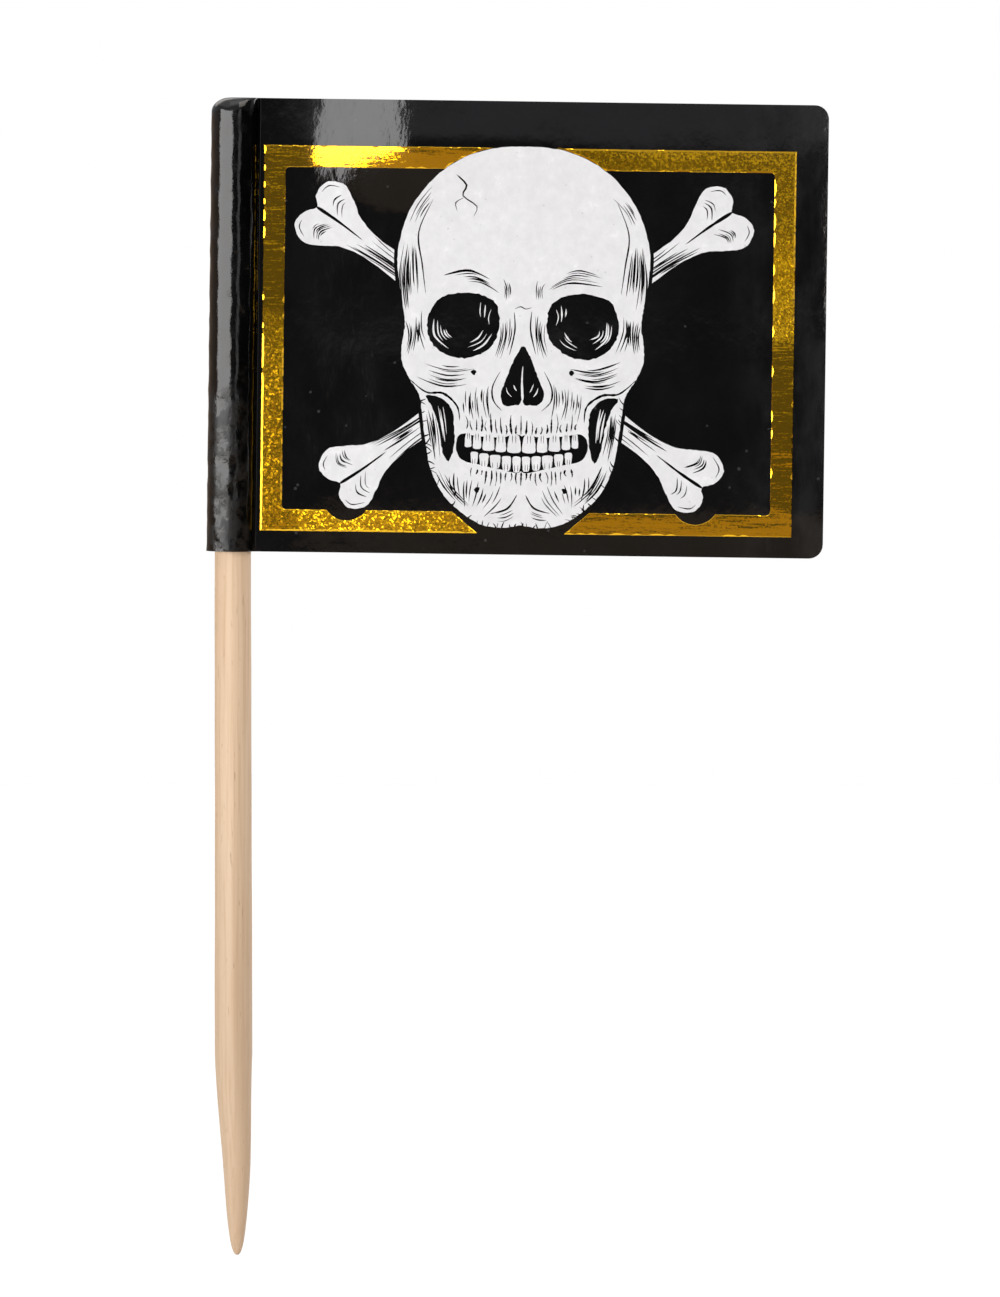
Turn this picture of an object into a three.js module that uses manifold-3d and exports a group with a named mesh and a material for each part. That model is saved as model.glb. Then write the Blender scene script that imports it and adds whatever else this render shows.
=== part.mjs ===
// A flag pick for food: a wooden stick with a ground point, and a flag of gloss paper that is
// folded round the stick's blunt end and glued to itself, with gold foil and a white print.
// Millimetres. The origin is on the stick's axis, level with its point. +Z runs up the stick,
// +X runs along the flag, and the front of the flag faces -Y.

import * as THREE from "three";
import { mergeVertices } from "three/addons/utils/BufferGeometryUtils.js";
import Module from "manifold-3d";

const wasm = await Module();
wasm.setup();

// The stick. Its section is a square with well rounded corners, set corner-on to the flag.
const stickLength = 65;
const topWidth = 2.0; // from corner to corner at the blunt end
const bellyWidth = 2.16; // from corner to corner where it is widest
const bellyHeight = 14;
const pointLength = 11.5;
const pointFullness = 0.38; // power of the taper: 1 is a plain cone, less is fuller
const tipWidth = 0.12;
const pointOffset = 0.19; // the point is ground a little off the axis
const cornerPower = 1.65; // of the section: 1 is a sharp square, 2 is round
const topEase = 0.15; // the blunt end's broken edge

// The paper flag: two leaves back to back, and a loop round the stick.
const paperThickness = 0.1;
const glueThickness = 0.03;
const flagReach = 33.65; // from the stick's axis to the free edge
const flagHeight = 25.7;
const flagRise = 0.8; // of the flag's top edge above the blunt end
const flagSkew = THREE.MathUtils.degToRad(0.75); // it was wrapped a little askew
const cornerRadius = 0.8;
const loopClearance = 0.03; // between the glue and the stick, where the skew brings them close
const neckRadius = 0.2; // of the bend from the loop to a leaf, at the paper's middle
const pinchDepth = 1.0; // how far the loop's empty top end is pressed in

// The gold foil frame, the same on both faces.
const foilThickness = 0.02;
const frameBar = 1.22;
const frameInnerCorner = 0.2;
const frameMarginTop = 2.65; // bare paper round the frame
const frameMarginBottom = 1.2;
const frameMarginFree = 1.8;
const frameMarginBend = 0.2;

// The white printed skull and crossed bones. Heights in the face are above the chin.
const inkThickness = 0.02;
const emblemShift = -0.3; // of the skull from the middle of the frame
const crownRise = 0.1; // of the crown above the frame's outer edge
const chinRise = 0.35; // of the chin above the frame's outer edge
const craniumWidth = 14.4;
const craniumHeight = 14.2;
const templeHeight = 12.0;
const templeWidth = 13.6;
const cheekHeight = 8.9;
const cheekWidth = 13.6;
const hollowHeight = 6.5;
const hollowWidth = 11.2;
const jawHeight = 3.0;
const jawWidth = 10.3;
const jowlHeight = 1.2;
const jowlWidth = 7.8;
const chinWidth = 4.4;
const eyeHeight = 11.4;
const eyeSpacing = 6.7;
const eyeWidth = 4.1;
const eyeDepth = 3.6; // from brow to cheek
const noseHeight = 6.9; // of the nose's lower edge
const noseLength = 3.1;
const noseWidth = 2.5;
const noseNotch = 0.6; // of the two nostrils' divide, up from the lower edge
const biteHeight = 4.1; // of the line between the teeth, at its middle
const biteWidth = 6.4;
const biteLift = 0.35; // of the line's ends
const biteGap = 0.2;
const toothWidth = 0.75;
const toothLength = 1.0;
const toothGap = 0.14;
const boneWidth = 1.35;
const knobRadius = 1.1;
const knobSpread = 0.95; // of each knob from the bone's axis
const boneInsetSide = 2.5; // of a bone's upper end from the frame's inner edges
const boneInsetTop = 2.7;
const boneInsetFoot = 4.0; // of its lower end
const boneInsetFloor = 1.9;
const domeGap = 0.1; // between the foil and the crown
const chinGapUpper = 7.9; // width of the foil's gap round the chin, at the bar's upper edge
const chinGapLower = 4.7; // and at its lower edge
const keyline = 0.45; // bare paper between a knob and the foil

// Facets
const ringSegments = 32;
const loopSegments = 24;
const neckSegments = 3;
const cornerSteps = 4;
const pinchSteps = 3;
const pointSteps = 12;
const outlineSteps = 3; // between two points of a drawn outline
const biteSteps = 8;

// Sizes that follow from the ones above.
const flagMiddle = stickLength + flagRise - flagHeight / 2;
const pinchHeight = flagRise; // only the end of the loop that the stick doesn't fill gives way
const skewRoom = (flagHeight / 2) * Math.sin(flagSkew);
const loopBore = shankHalfWidth(flagMiddle - flagHeight / 2) + skewRoom + loopClearance;
const loopRadius = loopBore + glueThickness + paperThickness / 2; // at the paper's middle
const leafMiddle = (glueThickness + paperThickness) / 2; // of a leaf's paper, from the fold plane
const leafFace = glueThickness / 2 + paperThickness;
const bendEnd = neckReach(loopRadius); // where a leaf starts to be flat
const frameLeft = bendEnd + frameMarginBend;
const frameWidth = flagReach - frameMarginFree - frameLeft;
const frameHeight = flagHeight - frameMarginTop - frameMarginBottom;
const frameCentreX = frameLeft + frameWidth / 2;
const frameCentreZ = (frameMarginBottom - frameMarginTop) / 2;
const crown = frameHeight / 2 + crownRise;
const chin = -frameHeight / 2 + chinRise;
const innerSide = frameWidth / 2 - frameBar;
const innerTop = frameHeight / 2 - frameBar;

// Half the stick's width above the point, from corner to corner.
function shankHalfWidth(z) {
  const share = THREE.MathUtils.clamp((z - bellyHeight) / (stickLength - bellyHeight), 0, 1);
  return THREE.MathUtils.lerp(bellyWidth, topWidth, share) / 2;
}

// How far past the loop's centre the bend of radius neckRadius reaches before the leaf is flat.
function neckReach(radius) {
  return Math.sqrt((radius + neckRadius) ** 2 - (leafMiddle + neckRadius) ** 2);
}

// A closed solid through the loops that sectionAt gives for each level: an outline that runs
// anticlockwise and any holes, which run clockwise, each with the same number of points.
function loft(levels, sectionAt) {
  const rows = levels.map(sectionAt);
  const positions = [];
  const put = (row, p) => positions.push(p.x, p.y, levels[row]);
  for (let row = 0; row + 1 < levels.length; row++) {
    rows[row].forEach((loop, which) => {
      const above = rows[row + 1][which];
      loop.forEach((a, i) => {
        const next = (i + 1) % loop.length;
        addWall(put, row, a, loop[next], above[i], above[next]);
      });
    });
  }
  for (const row of [0, levels.length - 1]) {
    const [outline, ...holes] = rows[row];
    const points = rows[row].flat();
    for (const face of THREE.ShapeUtils.triangulateShape(outline, holes)) {
      const turned = row === 0 ? face.toReversed() : face;
      turned.forEach((i) => put(row, points[i]));
    }
  }
  const geometry = new THREE.BufferGeometry();
  geometry.setAttribute("position", new THREE.Float32BufferAttribute(positions, 3));
  geometry.computeVertexNormals();
  return geometry;
}

// One wall panel from a to b, up to aboveA and aboveB. Its diagonal starts at the corner
// further along +X whichever way the panel is walked, so two solids that meet share it.
function addWall(put, row, a, b, aboveA, aboveB) {
  const startsAtA = a.x > b.x || (a.x === b.x && a.y > b.y);
  put(row, a);
  put(row, b);
  put(row + 1, startsAtA ? aboveB : aboveA);
  put(row + 1, aboveB);
  put(row + 1, aboveA);
  put(row, startsAtA ? a : b);
}

// One ring of the stick at height z.
function stickSection(z) {
  const inPoint = THREE.MathUtils.clamp(z / pointLength, 0, 1);
  const taper = Math.pow(inPoint, pointFullness);
  const broken = Math.max(0, z - (stickLength - topEase));
  const halfWidth = Math.max(tipWidth / 2, shankHalfWidth(z) * taper) - broken;
  const power = THREE.MathUtils.lerp(2, cornerPower, inPoint * inPoint);
  const shift = pointOffset * (1 - THREE.MathUtils.smoothstep(z, pointLength / 3, pointLength));
  const ring = [];
  for (let i = 0; i < ringSegments; i++) {
    const angle = (2 * Math.PI * i) / ringSegments;
    const spread = Math.abs(Math.cos(angle)) ** power + Math.abs(Math.sin(angle)) ** power;
    const radius = halfWidth / spread ** (1 / power);
    ring.push(new THREE.Vector2(shift + radius * Math.cos(angle), radius * Math.sin(angle)));
  }
  return [ring];
}

function stickGeometry() {
  const levels = [];
  for (let i = 0; i <= pointSteps; i++) {
    levels.push(pointLength * (i / pointSteps) ** 2);
  }
  levels.push(bellyHeight, (bellyHeight + stickLength) / 2, stickLength - topEase, stickLength);
  return loft(levels, stickSection);
}

// How far the loop is pressed in at height z, which runs from the flag's middle.
function pinchAt(z) {
  const above = THREE.MathUtils.clamp((z - flagHeight / 2 + pinchHeight) / pinchHeight, 0, 1);
  return pinchDepth * (1 - Math.sqrt(1 - above * above));
}

// The free edge at height z, drawn in where the corners are rounded.
function freeEdgeAt(z) {
  const intoCorner = Math.abs(z) - (flagHeight / 2 - cornerRadius);
  const share = THREE.MathUtils.clamp(intoCorner / cornerRadius, 0, 1);
  return flagReach - cornerRadius * (1 - Math.sqrt(1 - share * share));
}

function arc(centreX, centreY, radius, start, end, segments) {
  const points = [];
  for (let i = 0; i <= segments; i++) {
    const angle = THREE.MathUtils.lerp(start, end, i / segments);
    const x = centreX + radius * Math.cos(angle);
    points.push(new THREE.Vector2(x, centreY + radius * Math.sin(angle)));
  }
  return points;
}

// The line that the paper follows at height z, moved outwards by offset from its middle: from
// the front leaf's free edge, round the stick, to the back leaf's free edge.
function sheetLine(z, offset) {
  const pinch = pinchAt(z);
  const loop = loopRadius - pinch / 2;
  const loopX = pinch / 2;
  const neckX = loopX + neckReach(loop);
  const neckY = leafMiddle + neckRadius;
  const meet = Math.atan2(-neckY, neckX - loopX);
  const bend = neckRadius - offset;
  const leafY = leafMiddle + offset;
  const edge = freeEdgeAt(z);
  return [
    new THREE.Vector2(edge, -leafY),
    ...arc(neckX, -neckY, bend, Math.PI / 2, Math.PI + meet, neckSegments),
    ...arc(loopX, 0, loop + offset, meet, -2 * Math.PI - meet, loopSegments).slice(1, -1),
    ...arc(neckX, neckY, bend, Math.PI - meet, (3 * Math.PI) / 2, neckSegments),
    new THREE.Vector2(edge, leafY),
  ];
}

function paperSection(z) {
  const outside = sheetLine(z, paperThickness / 2);
  const inside = sheetLine(z, -paperThickness / 2);
  return [[...outside.toReversed(), ...inside]];
}

function glueSection(z) {
  const pinch = pinchAt(z);
  const bore = arc(pinch / 2, 0, loopBore - pinch / 2, 0, -2 * Math.PI, ringSegments);
  return [sheetLine(z, -paperThickness / 2).toReversed(), bore.slice(0, -1)];
}

// Heights of the flag's sections: the rounded corners, and the pressed end of the loop.
function flagLevels() {
  const levels = [];
  for (let i = 0; i <= cornerSteps; i++) {
    const turn = (Math.PI / 2) * (i / cornerSteps);
    const corner = flagHeight / 2 - cornerRadius * (1 - Math.cos(turn));
    levels.push(corner, -corner);
  }
  for (let i = 0; i < pinchSteps; i++) {
    const turn = (Math.PI / 2) * (i / pinchSteps);
    levels.push(flagHeight / 2 - pinchHeight * (1 - Math.sin(turn)));
  }
  levels.sort((a, b) => a - b);
  const leastStep = Math.min(cornerRadius, pinchHeight) / 100;
  return levels.filter((z, i) => i === 0 || z - levels[i - 1] > leastStep);
}

// A closed geometry as a solid for joining and cutting, and back again.
function toSolid(geometry) {
  const bare = new THREE.BufferGeometry();
  bare.setAttribute("position", geometry.getAttribute("position"));
  bare.setIndex(geometry.index);
  const merged = mergeVertices(bare);
  return new wasm.Manifold(
    new wasm.Mesh({
      numProp: 3,
      vertProperties: new Float32Array(merged.attributes.position.array),
      triVerts: new Uint32Array(merged.index.array),
    }),
  );
}

function toGeometry(solid) {
  const mesh = solid.getMesh();
  const geometry = new THREE.BufferGeometry();
  geometry.setAttribute("position", new THREE.Float32BufferAttribute(mesh.vertProperties, 3));
  geometry.setIndex(new THREE.Uint32BufferAttribute(mesh.triVerts, 1));
  return geometry;
}

// A flat film of the outline given, and a cutter that stands out of both its faces.
function film(shape, thickness) {
  const flat = new THREE.ExtrudeGeometry(shape, { depth: thickness, bevelEnabled: false });
  return toSolid(flat);
}

function cutter(shape, thickness) {
  const deep = new THREE.ExtrudeGeometry(shape, { depth: 3 * thickness, bevelEnabled: false });
  return toSolid(deep.translate(0, 0, -thickness));
}

function polygon(points) {
  return new THREE.Shape(points.map(([x, y]) => new THREE.Vector2(x, y)));
}

function ellipse(x, y, width, height) {
  const curve = new THREE.EllipseCurve(x, y, width / 2, height / 2);
  return new THREE.Shape(curve.getPoints(ringSegments).slice(0, -1));
}

// A smooth outline that is the same on both sides of x = 0. The points of its right side run
// from the top to the bottom, and its first and last lie on x = 0.
function mirroredOutline(right) {
  const left = right.slice(1, -1).toReversed().map(([x, y]) => [-x, y]);
  const around = [...right, ...left].map(([x, y]) => new THREE.Vector3(x, y, 0));
  const curve = new THREE.CatmullRomCurve3(around, true, "centripetal");
  const smooth = curve.getPoints(around.length * outlineSteps).slice(0, -1);
  return polygon(smooth.map((p) => [p.x, p.y]));
}

function craniumShape(gap = 0) {
  const middle = crown - craniumHeight / 2;
  return ellipse(0, middle, craniumWidth + 2 * gap, craniumHeight + 2 * gap);
}

function faceShape() {
  return mirroredOutline([
    [0, chin + templeHeight],
    [templeWidth / 2, chin + templeHeight],
    [cheekWidth / 2, chin + cheekHeight],
    [hollowWidth / 2, chin + hollowHeight],
    [jawWidth / 2, chin + jawHeight],
    [jowlWidth / 2, chin + jowlHeight],
    [chinWidth / 2, chin],
    [0, chin],
  ]);
}

function noseShape() {
  const low = chin + noseHeight;
  const half = noseWidth / 2;
  return mirroredOutline([
    [0, low + noseLength],
    [half, low + noseNotch],
    [half / 2, low],
    [0, low + noseNotch],
  ]);
}

// Height of the line between the teeth at x.
function biteAt(x) {
  return chin + biteHeight + biteLift * ((2 * x) / biteWidth) ** 2;
}

function biteShape() {
  const line = [];
  for (let i = 0; i <= biteSteps; i++) {
    const x = biteWidth * (i / biteSteps - 0.5);
    line.push([x, biteAt(x)]);
  }
  const lower = line.map(([x, y]) => [x, y - biteGap / 2]);
  const upper = line.toReversed().map(([x, y]) => [x, y + biteGap / 2]);
  return polygon([...lower, ...upper]);
}

function toothGapShape(x) {
  const left = x - toothGap / 2;
  const right = x + toothGap / 2;
  const low = biteAt(x) - toothLength;
  const high = biteAt(x) + toothLength;
  return polygon([[left, low], [right, low], [right, high], [left, high]]);
}

// One crossed bone, from its upper end on the given side to its lower end on the other.
function boneLine(side) {
  const up = new THREE.Vector2(side * (innerSide - boneInsetSide), innerTop - boneInsetTop);
  const down = new THREE.Vector2(-side * (innerSide - boneInsetFoot), boneInsetFloor - innerTop);
  const along = up.clone().sub(down).normalize();
  const across = new THREE.Vector2(-along.y, along.x);
  const knobs = [up, down].flatMap((end) => {
    return [1, -1].map((sign) => end.clone().addScaledVector(across, sign * knobSpread));
  });
  return { up, down, across, knobs };
}

function boneSolid(side, thickness) {
  const { up, down, across, knobs } = boneLine(side);
  const edge = (end, sign) => {
    return end.clone().addScaledVector(across, (sign * boneWidth) / 2).toArray();
  };
  let bone = film(polygon([edge(up, 1), edge(down, 1), edge(down, -1), edge(up, -1)]), thickness);
  for (const knob of knobs) {
    bone = bone.add(film(ellipse(knob.x, knob.y, 2 * knobRadius, 2 * knobRadius), thickness));
  }
  return bone;
}

function emblemSolid() {
  let emblem = film(craniumShape(), inkThickness).add(film(faceShape(), inkThickness));
  for (const side of [1, -1]) {
    emblem = emblem.add(boneSolid(side, inkThickness));
  }
  const holes = [noseShape(), biteShape()];
  for (const side of [1, -1]) {
    holes.push(ellipse((side * eyeSpacing) / 2, chin + eyeHeight, eyeWidth, eyeDepth));
  }
  const gaps = Math.floor(biteWidth / toothWidth / 2);
  for (let i = 1 - gaps; i < gaps; i++) {
    holes.push(toothGapShape(i * toothWidth));
  }
  for (const hole of holes) {
    emblem = emblem.subtract(cutter(hole, inkThickness));
  }
  return emblem.translate([frameCentreX + emblemShift, frameCentreZ, 0]);
}

// A rectangle about the frame's centre, with its corners cut off by the length given.
function frameOutline(width, height, corner) {
  const x = width / 2;
  const y = height / 2;
  return polygon([
    [corner - x, -y],
    [x - corner, -y],
    [x, corner - y],
    [x, y - corner],
    [x - corner, y],
    [corner - x, y],
    [-x, y - corner],
    [-x, corner - y],
  ]);
}

// The gap in the lower bar, which leans with the jaw. It runs a little past the bar.
function chinGapShape() {
  const overrun = 0.1;
  const side = (share) => {
    const half = THREE.MathUtils.lerp(chinGapLower, chinGapUpper, share) / 2;
    return [half, frameBar * share - frameHeight / 2];
  };
  const right = [side(-overrun), side(1 + overrun)];
  return polygon([...right, ...right.toReversed().map(([x, y]) => [-x, y])]);
}

// The foil frame in its two halves. It stops at the crown and the chin, and gives way to the
// knobs of the bones.
function foilSolids() {
  const inner = frameOutline(2 * innerSide, 2 * innerTop, frameInnerCorner);
  const outer = polygon([
    [-frameWidth / 2, -frameHeight / 2],
    [frameWidth / 2, -frameHeight / 2],
    [frameWidth / 2, frameHeight / 2],
    [-frameWidth / 2, frameHeight / 2],
  ]);
  let foil = film(outer, foilThickness).subtract(cutter(inner, foilThickness));
  const gaps = [craniumShape(domeGap), chinGapShape()];
  for (const knob of [1, -1].flatMap((side) => boneLine(side).knobs)) {
    const reach = 2 * (knobRadius + keyline);
    gaps.push(ellipse(knob.x, knob.y, reach, reach));
  }
  for (const gap of gaps) {
    foil = foil.subtract(cutter(gap, foilThickness).translate([emblemShift, 0, 0]));
  }
  const halves = foil.translate([frameCentreX, frameCentreZ, 0]).decompose();
  return halves.sort((a, b) => a.boundingBox().min[0] - b.boundingBox().min[0]);
}

// Lays a film on a leaf. The back has the same film, turned about the frame's upright middle.
function layOnFront(solid) {
  const place = new THREE.Matrix4();
  place.set(1, 0, 0, 0, 0, 0, -1, -leafFace, 0, 1, 0, 0, 0, 0, 0, 1);
  return toGeometry(solid).applyMatrix4(place);
}

function layOnBack(solid) {
  const place = new THREE.Matrix4();
  place.set(-1, 0, 0, 2 * frameCentreX, 0, 0, 1, leafFace, 0, 1, 0, 0, 0, 0, 0, 1);
  return toGeometry(solid).applyMatrix4(place);
}

// Colours are sRGB, as seen on the object.
const wood = new THREE.MeshStandardMaterial({ color: "#e0c09a", roughness: 0.7, metalness: 0 });
const paper = new THREE.MeshStandardMaterial({ color: "#161618", roughness: 0.2, metalness: 0 });
const glue = new THREE.MeshStandardMaterial({ color: "#d9d4c4", roughness: 0.5, metalness: 0 });
const foil = new THREE.MeshStandardMaterial({ color: "#d7a92b", roughness: 0.25, metalness: 1 });
const ink = new THREE.MeshStandardMaterial({ color: "#ececf0", roughness: 0.2, metalness: 0 });

function named(name, geometry, material) {
  const mesh = new THREE.Mesh(geometry, material.clone());
  mesh.name = name;
  return mesh;
}

const flag = new THREE.Group();
flag.position.z = flagMiddle;
flag.rotation.y = flagSkew;
flag.add(named("flag_paper", loft(flagLevels(), paperSection), paper));
flag.add(named("glue_film", loft(flagLevels(), glueSection), glue));

const emblem = emblemSolid();
const [nearFoil, farFoil] = foilSolids();
flag.add(named("print_front", layOnFront(emblem), ink));
flag.add(named("print_back", layOnBack(emblem), ink));
flag.add(named("foil_front_near_stick", layOnFront(nearFoil), foil));
flag.add(named("foil_front_free_end", layOnFront(farFoil), foil));
flag.add(named("foil_back_near_stick", layOnBack(farFoil), foil));
flag.add(named("foil_back_free_end", layOnBack(nearFoil), foil));

const pick = new THREE.Group();
pick.add(named("stick", stickGeometry(), wood));
pick.add(flag);

export default pick;
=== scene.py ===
# %% [markdown]
# # A flag pick
# The real thing is a birch stick with a ground point, and a label of black gloss paper that is
# folded round its blunt end and glued to itself. The label carries a skull with crossed bones
# in white, and a frame of stamped gold foil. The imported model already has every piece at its
# real size. This lesson measures that model and builds a finer mesh in each piece's place.

import math
import random

import bmesh
import bpy
import numpy as np
from mathutils.geometry import delaunay_2d_cdt, tessellate_polygon
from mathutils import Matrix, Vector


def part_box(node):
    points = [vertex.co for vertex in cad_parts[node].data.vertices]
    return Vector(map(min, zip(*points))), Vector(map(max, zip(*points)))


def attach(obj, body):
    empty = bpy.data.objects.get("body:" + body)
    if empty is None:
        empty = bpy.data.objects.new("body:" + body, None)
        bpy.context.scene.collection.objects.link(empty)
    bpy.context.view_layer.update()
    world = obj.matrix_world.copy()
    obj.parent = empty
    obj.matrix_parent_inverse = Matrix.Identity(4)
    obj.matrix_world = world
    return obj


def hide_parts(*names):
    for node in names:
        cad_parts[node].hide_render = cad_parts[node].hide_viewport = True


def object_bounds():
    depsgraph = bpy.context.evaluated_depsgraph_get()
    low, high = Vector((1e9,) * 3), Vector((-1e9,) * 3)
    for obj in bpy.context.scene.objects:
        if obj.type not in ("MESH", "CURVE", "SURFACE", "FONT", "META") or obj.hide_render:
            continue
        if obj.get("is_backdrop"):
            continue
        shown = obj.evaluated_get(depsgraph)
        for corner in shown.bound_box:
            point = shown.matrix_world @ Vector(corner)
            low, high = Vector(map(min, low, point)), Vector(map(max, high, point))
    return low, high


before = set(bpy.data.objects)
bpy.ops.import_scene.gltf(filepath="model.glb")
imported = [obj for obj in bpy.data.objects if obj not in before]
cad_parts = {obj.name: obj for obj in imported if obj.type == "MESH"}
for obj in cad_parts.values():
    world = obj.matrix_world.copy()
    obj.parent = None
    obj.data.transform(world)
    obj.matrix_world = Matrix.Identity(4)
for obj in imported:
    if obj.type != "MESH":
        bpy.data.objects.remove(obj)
cad_box = [list(corner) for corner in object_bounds()]
MM = 0.001
print("pieces of the model:", sorted(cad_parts))

# %% [markdown]
# ## Measuring the flag
# The label was wrapped a little askew, so its edges aren't level. We could type its sizes in
# again, but then they could drift from the model. Instead we read the corners of the foil frame
# and of the paper. Everything on the flag is then placed in its own coordinates: x along the
# flag from the stick's axis, y towards the back, z up from the flag's middle.


# %% Read sizes from the model
def cad_points(node):
    return np.array([v.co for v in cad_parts[node].data.vertices]) / MM


def corner_of(node, right, up):
    """The corner of a node that lies furthest that way, seen from the front."""
    seen = cad_points(node)[:, [0, 2]]
    return seen[np.argmax(seen @ (right, up))]


low_left = corner_of("foil_front_near_stick", -1, -1)
high_left = corner_of("foil_front_near_stick", -1, 1)
high_right = corner_of("foil_front_free_end", 1, 1)
frame_side = high_left - low_left
skew = math.atan2(frame_side[0], frame_side[1])
turn = np.array([[math.cos(skew), -math.sin(skew)], [math.sin(skew), math.cos(skew)]])

sheet_points = cad_points("flag_paper")
upright = sheet_points[:, [0, 2]] @ turn.T
half_height = np.ptp(upright[:, 1]) / 2
flag_middle = (upright[:, 1].min() + half_height) / math.cos(skew)
origin = turn @ (0, flag_middle)
along_flag = upright[:, 0] - origin[0]
flag_reach = along_flag.max()
loop_outside = -along_flag.min()
leaf_sides = np.abs(sheet_points[along_flag > flag_reach / 2, 1])
leaf_face = leaf_sides.max()
glue_half = leaf_sides.min()
paper_thickness = leaf_face - glue_half

frame_low = turn @ low_left - origin
frame_high = turn @ high_right - origin
frame_centre = (frame_low + frame_high) / 2
frame_half = (frame_high - frame_low) / 2
film_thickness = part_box("foil_back_near_stick")[1].y / MM - leaf_face
stick_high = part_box("stick")[1] / MM
print(f"flag {flag_reach:.2f} x {2 * half_height:.2f} mm, askew by {math.degrees(skew):.2f} degrees")
print(f"paper {paper_thickness:.3f} mm, foil {film_thickness:.3f} mm, frame half {frame_half.round(3)}")


def place(points):
    """Millimetres of the flag to metres of the model."""
    points = np.array(points, float)
    seen = (points[:, [0, 2]] + origin) @ turn
    return np.column_stack([seen[:, 0], points[:, 1], seen[:, 1]]) * MM


# %% [markdown]
# ## The way the sheet lies
# A label that was wrapped by hand isn't flat. Both leaves are glued together, so they swing
# out together, and gloss shows every degree of it. Cloth simulation could find such a shape,
# but then nobody could say where the gloss falls. A few named curves do it here: the
# leaves come forward past the stick, go back towards the free edge, and carry shallow ripples.

# %% Swing and ripples of the leaves
neck_radius = 0.2
leaf_middle = glue_half + paper_thickness / 2
loop_radius = loop_outside - paper_thickness / 2


def neck_reach(radius):
    """How far past the loop's centre the leaves start to be flat."""
    return math.sqrt((radius + neck_radius) ** 2 - (leaf_middle + neck_radius) ** 2)


bend_end = neck_reach(loop_radius)
swing_slope = math.tan(math.radians(4.8))
swing_start, swing_end, swing_turn = 4.1, 10.0, 0.4
swing_share_low = 0.12
swing_rise_from, swing_rise_over = 6.0, 4.8
return_end = 25.0
dip_slope = math.tan(math.radians(2.4))
dip_turn_in, dip_turn_out = 0.15, 0.3
dip_rise_from, dip_rise_over = -4.0, 7.0
margin_slope = math.tan(math.radians(2.1))
margin_start, margin_turn = 10.2, 0.35
curl_slope = math.tan(math.radians(5.0))
curl_start, curl_turn = 33.1, 0.08
ripple_slope = math.radians(0.22)
ripple_start = 5.0

chance = random.Random(7)
ripples = []
for length in (3.1, 4.5, 5.6, 6.9, 8.3, 10.4, 13.0):
    heading = chance.uniform(0, math.pi)
    ripples.append((2 * math.pi / length, heading, chance.uniform(0, 2 * math.pi)))


def ease(share):
    share = np.clip(share, 0, 1)
    return share * share * (3 - 2 * share)


def soft_turn(value, start, width):
    """Zero before the start, then a rise of one in one. The turn between them is rounded."""
    return width * np.logaddexp(0, (value - start) / width)


def bow(x, z):
    """How far the leaves lie behind the flat at a place on the flag."""
    rise = soft_turn(x, swing_start, swing_turn) - soft_turn(x, swing_end, swing_turn)
    high = ease((z - swing_rise_from) / swing_rise_over)
    fading = 1 - ease((x - swing_end) / (return_end - swing_end))
    forward = swing_slope * rise * (swing_share_low + (1 - swing_share_low) * high) * fading
    sunk = soft_turn(x, bend_end, dip_turn_in) - soft_turn(x, swing_start, dip_turn_out)
    dip = dip_slope * sunk * ease((z - dip_rise_from) / dip_rise_over)
    lean = margin_slope * soft_turn(abs(z), margin_start, margin_turn)
    curl = curl_slope * soft_turn(x, curl_start, curl_turn)
    ripple = 0
    for pace, heading, phase in ripples:
        ripple += np.sin(pace * (x * math.cos(heading) + z * math.sin(heading)) + phase) / pace
    loose = ease((x - bend_end) / ripple_start)
    return lean * loose + dip - forward - curl + ripple_slope * ripple * loose


# %% [markdown]
# ## The sheet
# The paper is one sheet: front leaf, a bend, the loop round the stick, a bend and the back
# leaf. Extruding a line would give it straight ends, so the line is worked out afresh at each
# height. There the loop's empty top end is pressed in, the free corners are rounded, and the
# loop gives a little where it was rolled. Two such grids, the outside and the inside of the
# paper, are closed with the cut edge between them.

# %% Mesh helpers
def make_piece(name, points, faces, node, sharp=30):
    """A mesh that stands for a CAD node. Points are in metres."""
    mesh = bpy.data.meshes.new(name)
    mesh.from_pydata(np.asarray(points).tolist(), [], faces)
    work = bmesh.new()
    work.from_mesh(mesh)
    bmesh.ops.recalc_face_normals(work, faces=work.faces)
    work.to_mesh(mesh)
    work.free()
    mesh.shade_smooth()
    mesh.set_sharp_from_angle(angle=math.radians(sharp))
    piece = bpy.data.objects.new(name, mesh)
    bpy.context.scene.collection.objects.link(piece)
    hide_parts(node)
    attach(piece, "root")
    print(f"{name}: {len(mesh.vertices)} points, {len(mesh.polygons)} faces")
    return piece


def grid_faces(index, closed=False):
    """Faces between the rows of a grid of point numbers."""
    ahead = np.roll(index, -1, axis=1) if closed else index[:, 1:]
    here = index if closed else index[:, :-1]
    corners = np.stack([here[:-1], ahead[:-1], ahead[1:], here[1:]], axis=-1)
    return corners.reshape(-1, 4).tolist()


def closed_sheet(outside, inside):
    """Points and faces of a sheet with two sides and a cut edge all round."""
    rows, columns = outside.shape[:2]
    index = np.arange(2 * rows * columns).reshape(2, rows, columns)
    faces = grid_faces(index[0]) + grid_faces(index[1][:, ::-1])
    rims = [np.concatenate([g[0], g[1:, -1], g[-1, -2::-1], g[-2:0:-1, 0]]) for g in index]
    faces += grid_faces(np.array(rims), closed=True)
    return np.concatenate([outside.reshape(-1, 3), inside.reshape(-1, 3)]), faces


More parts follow.
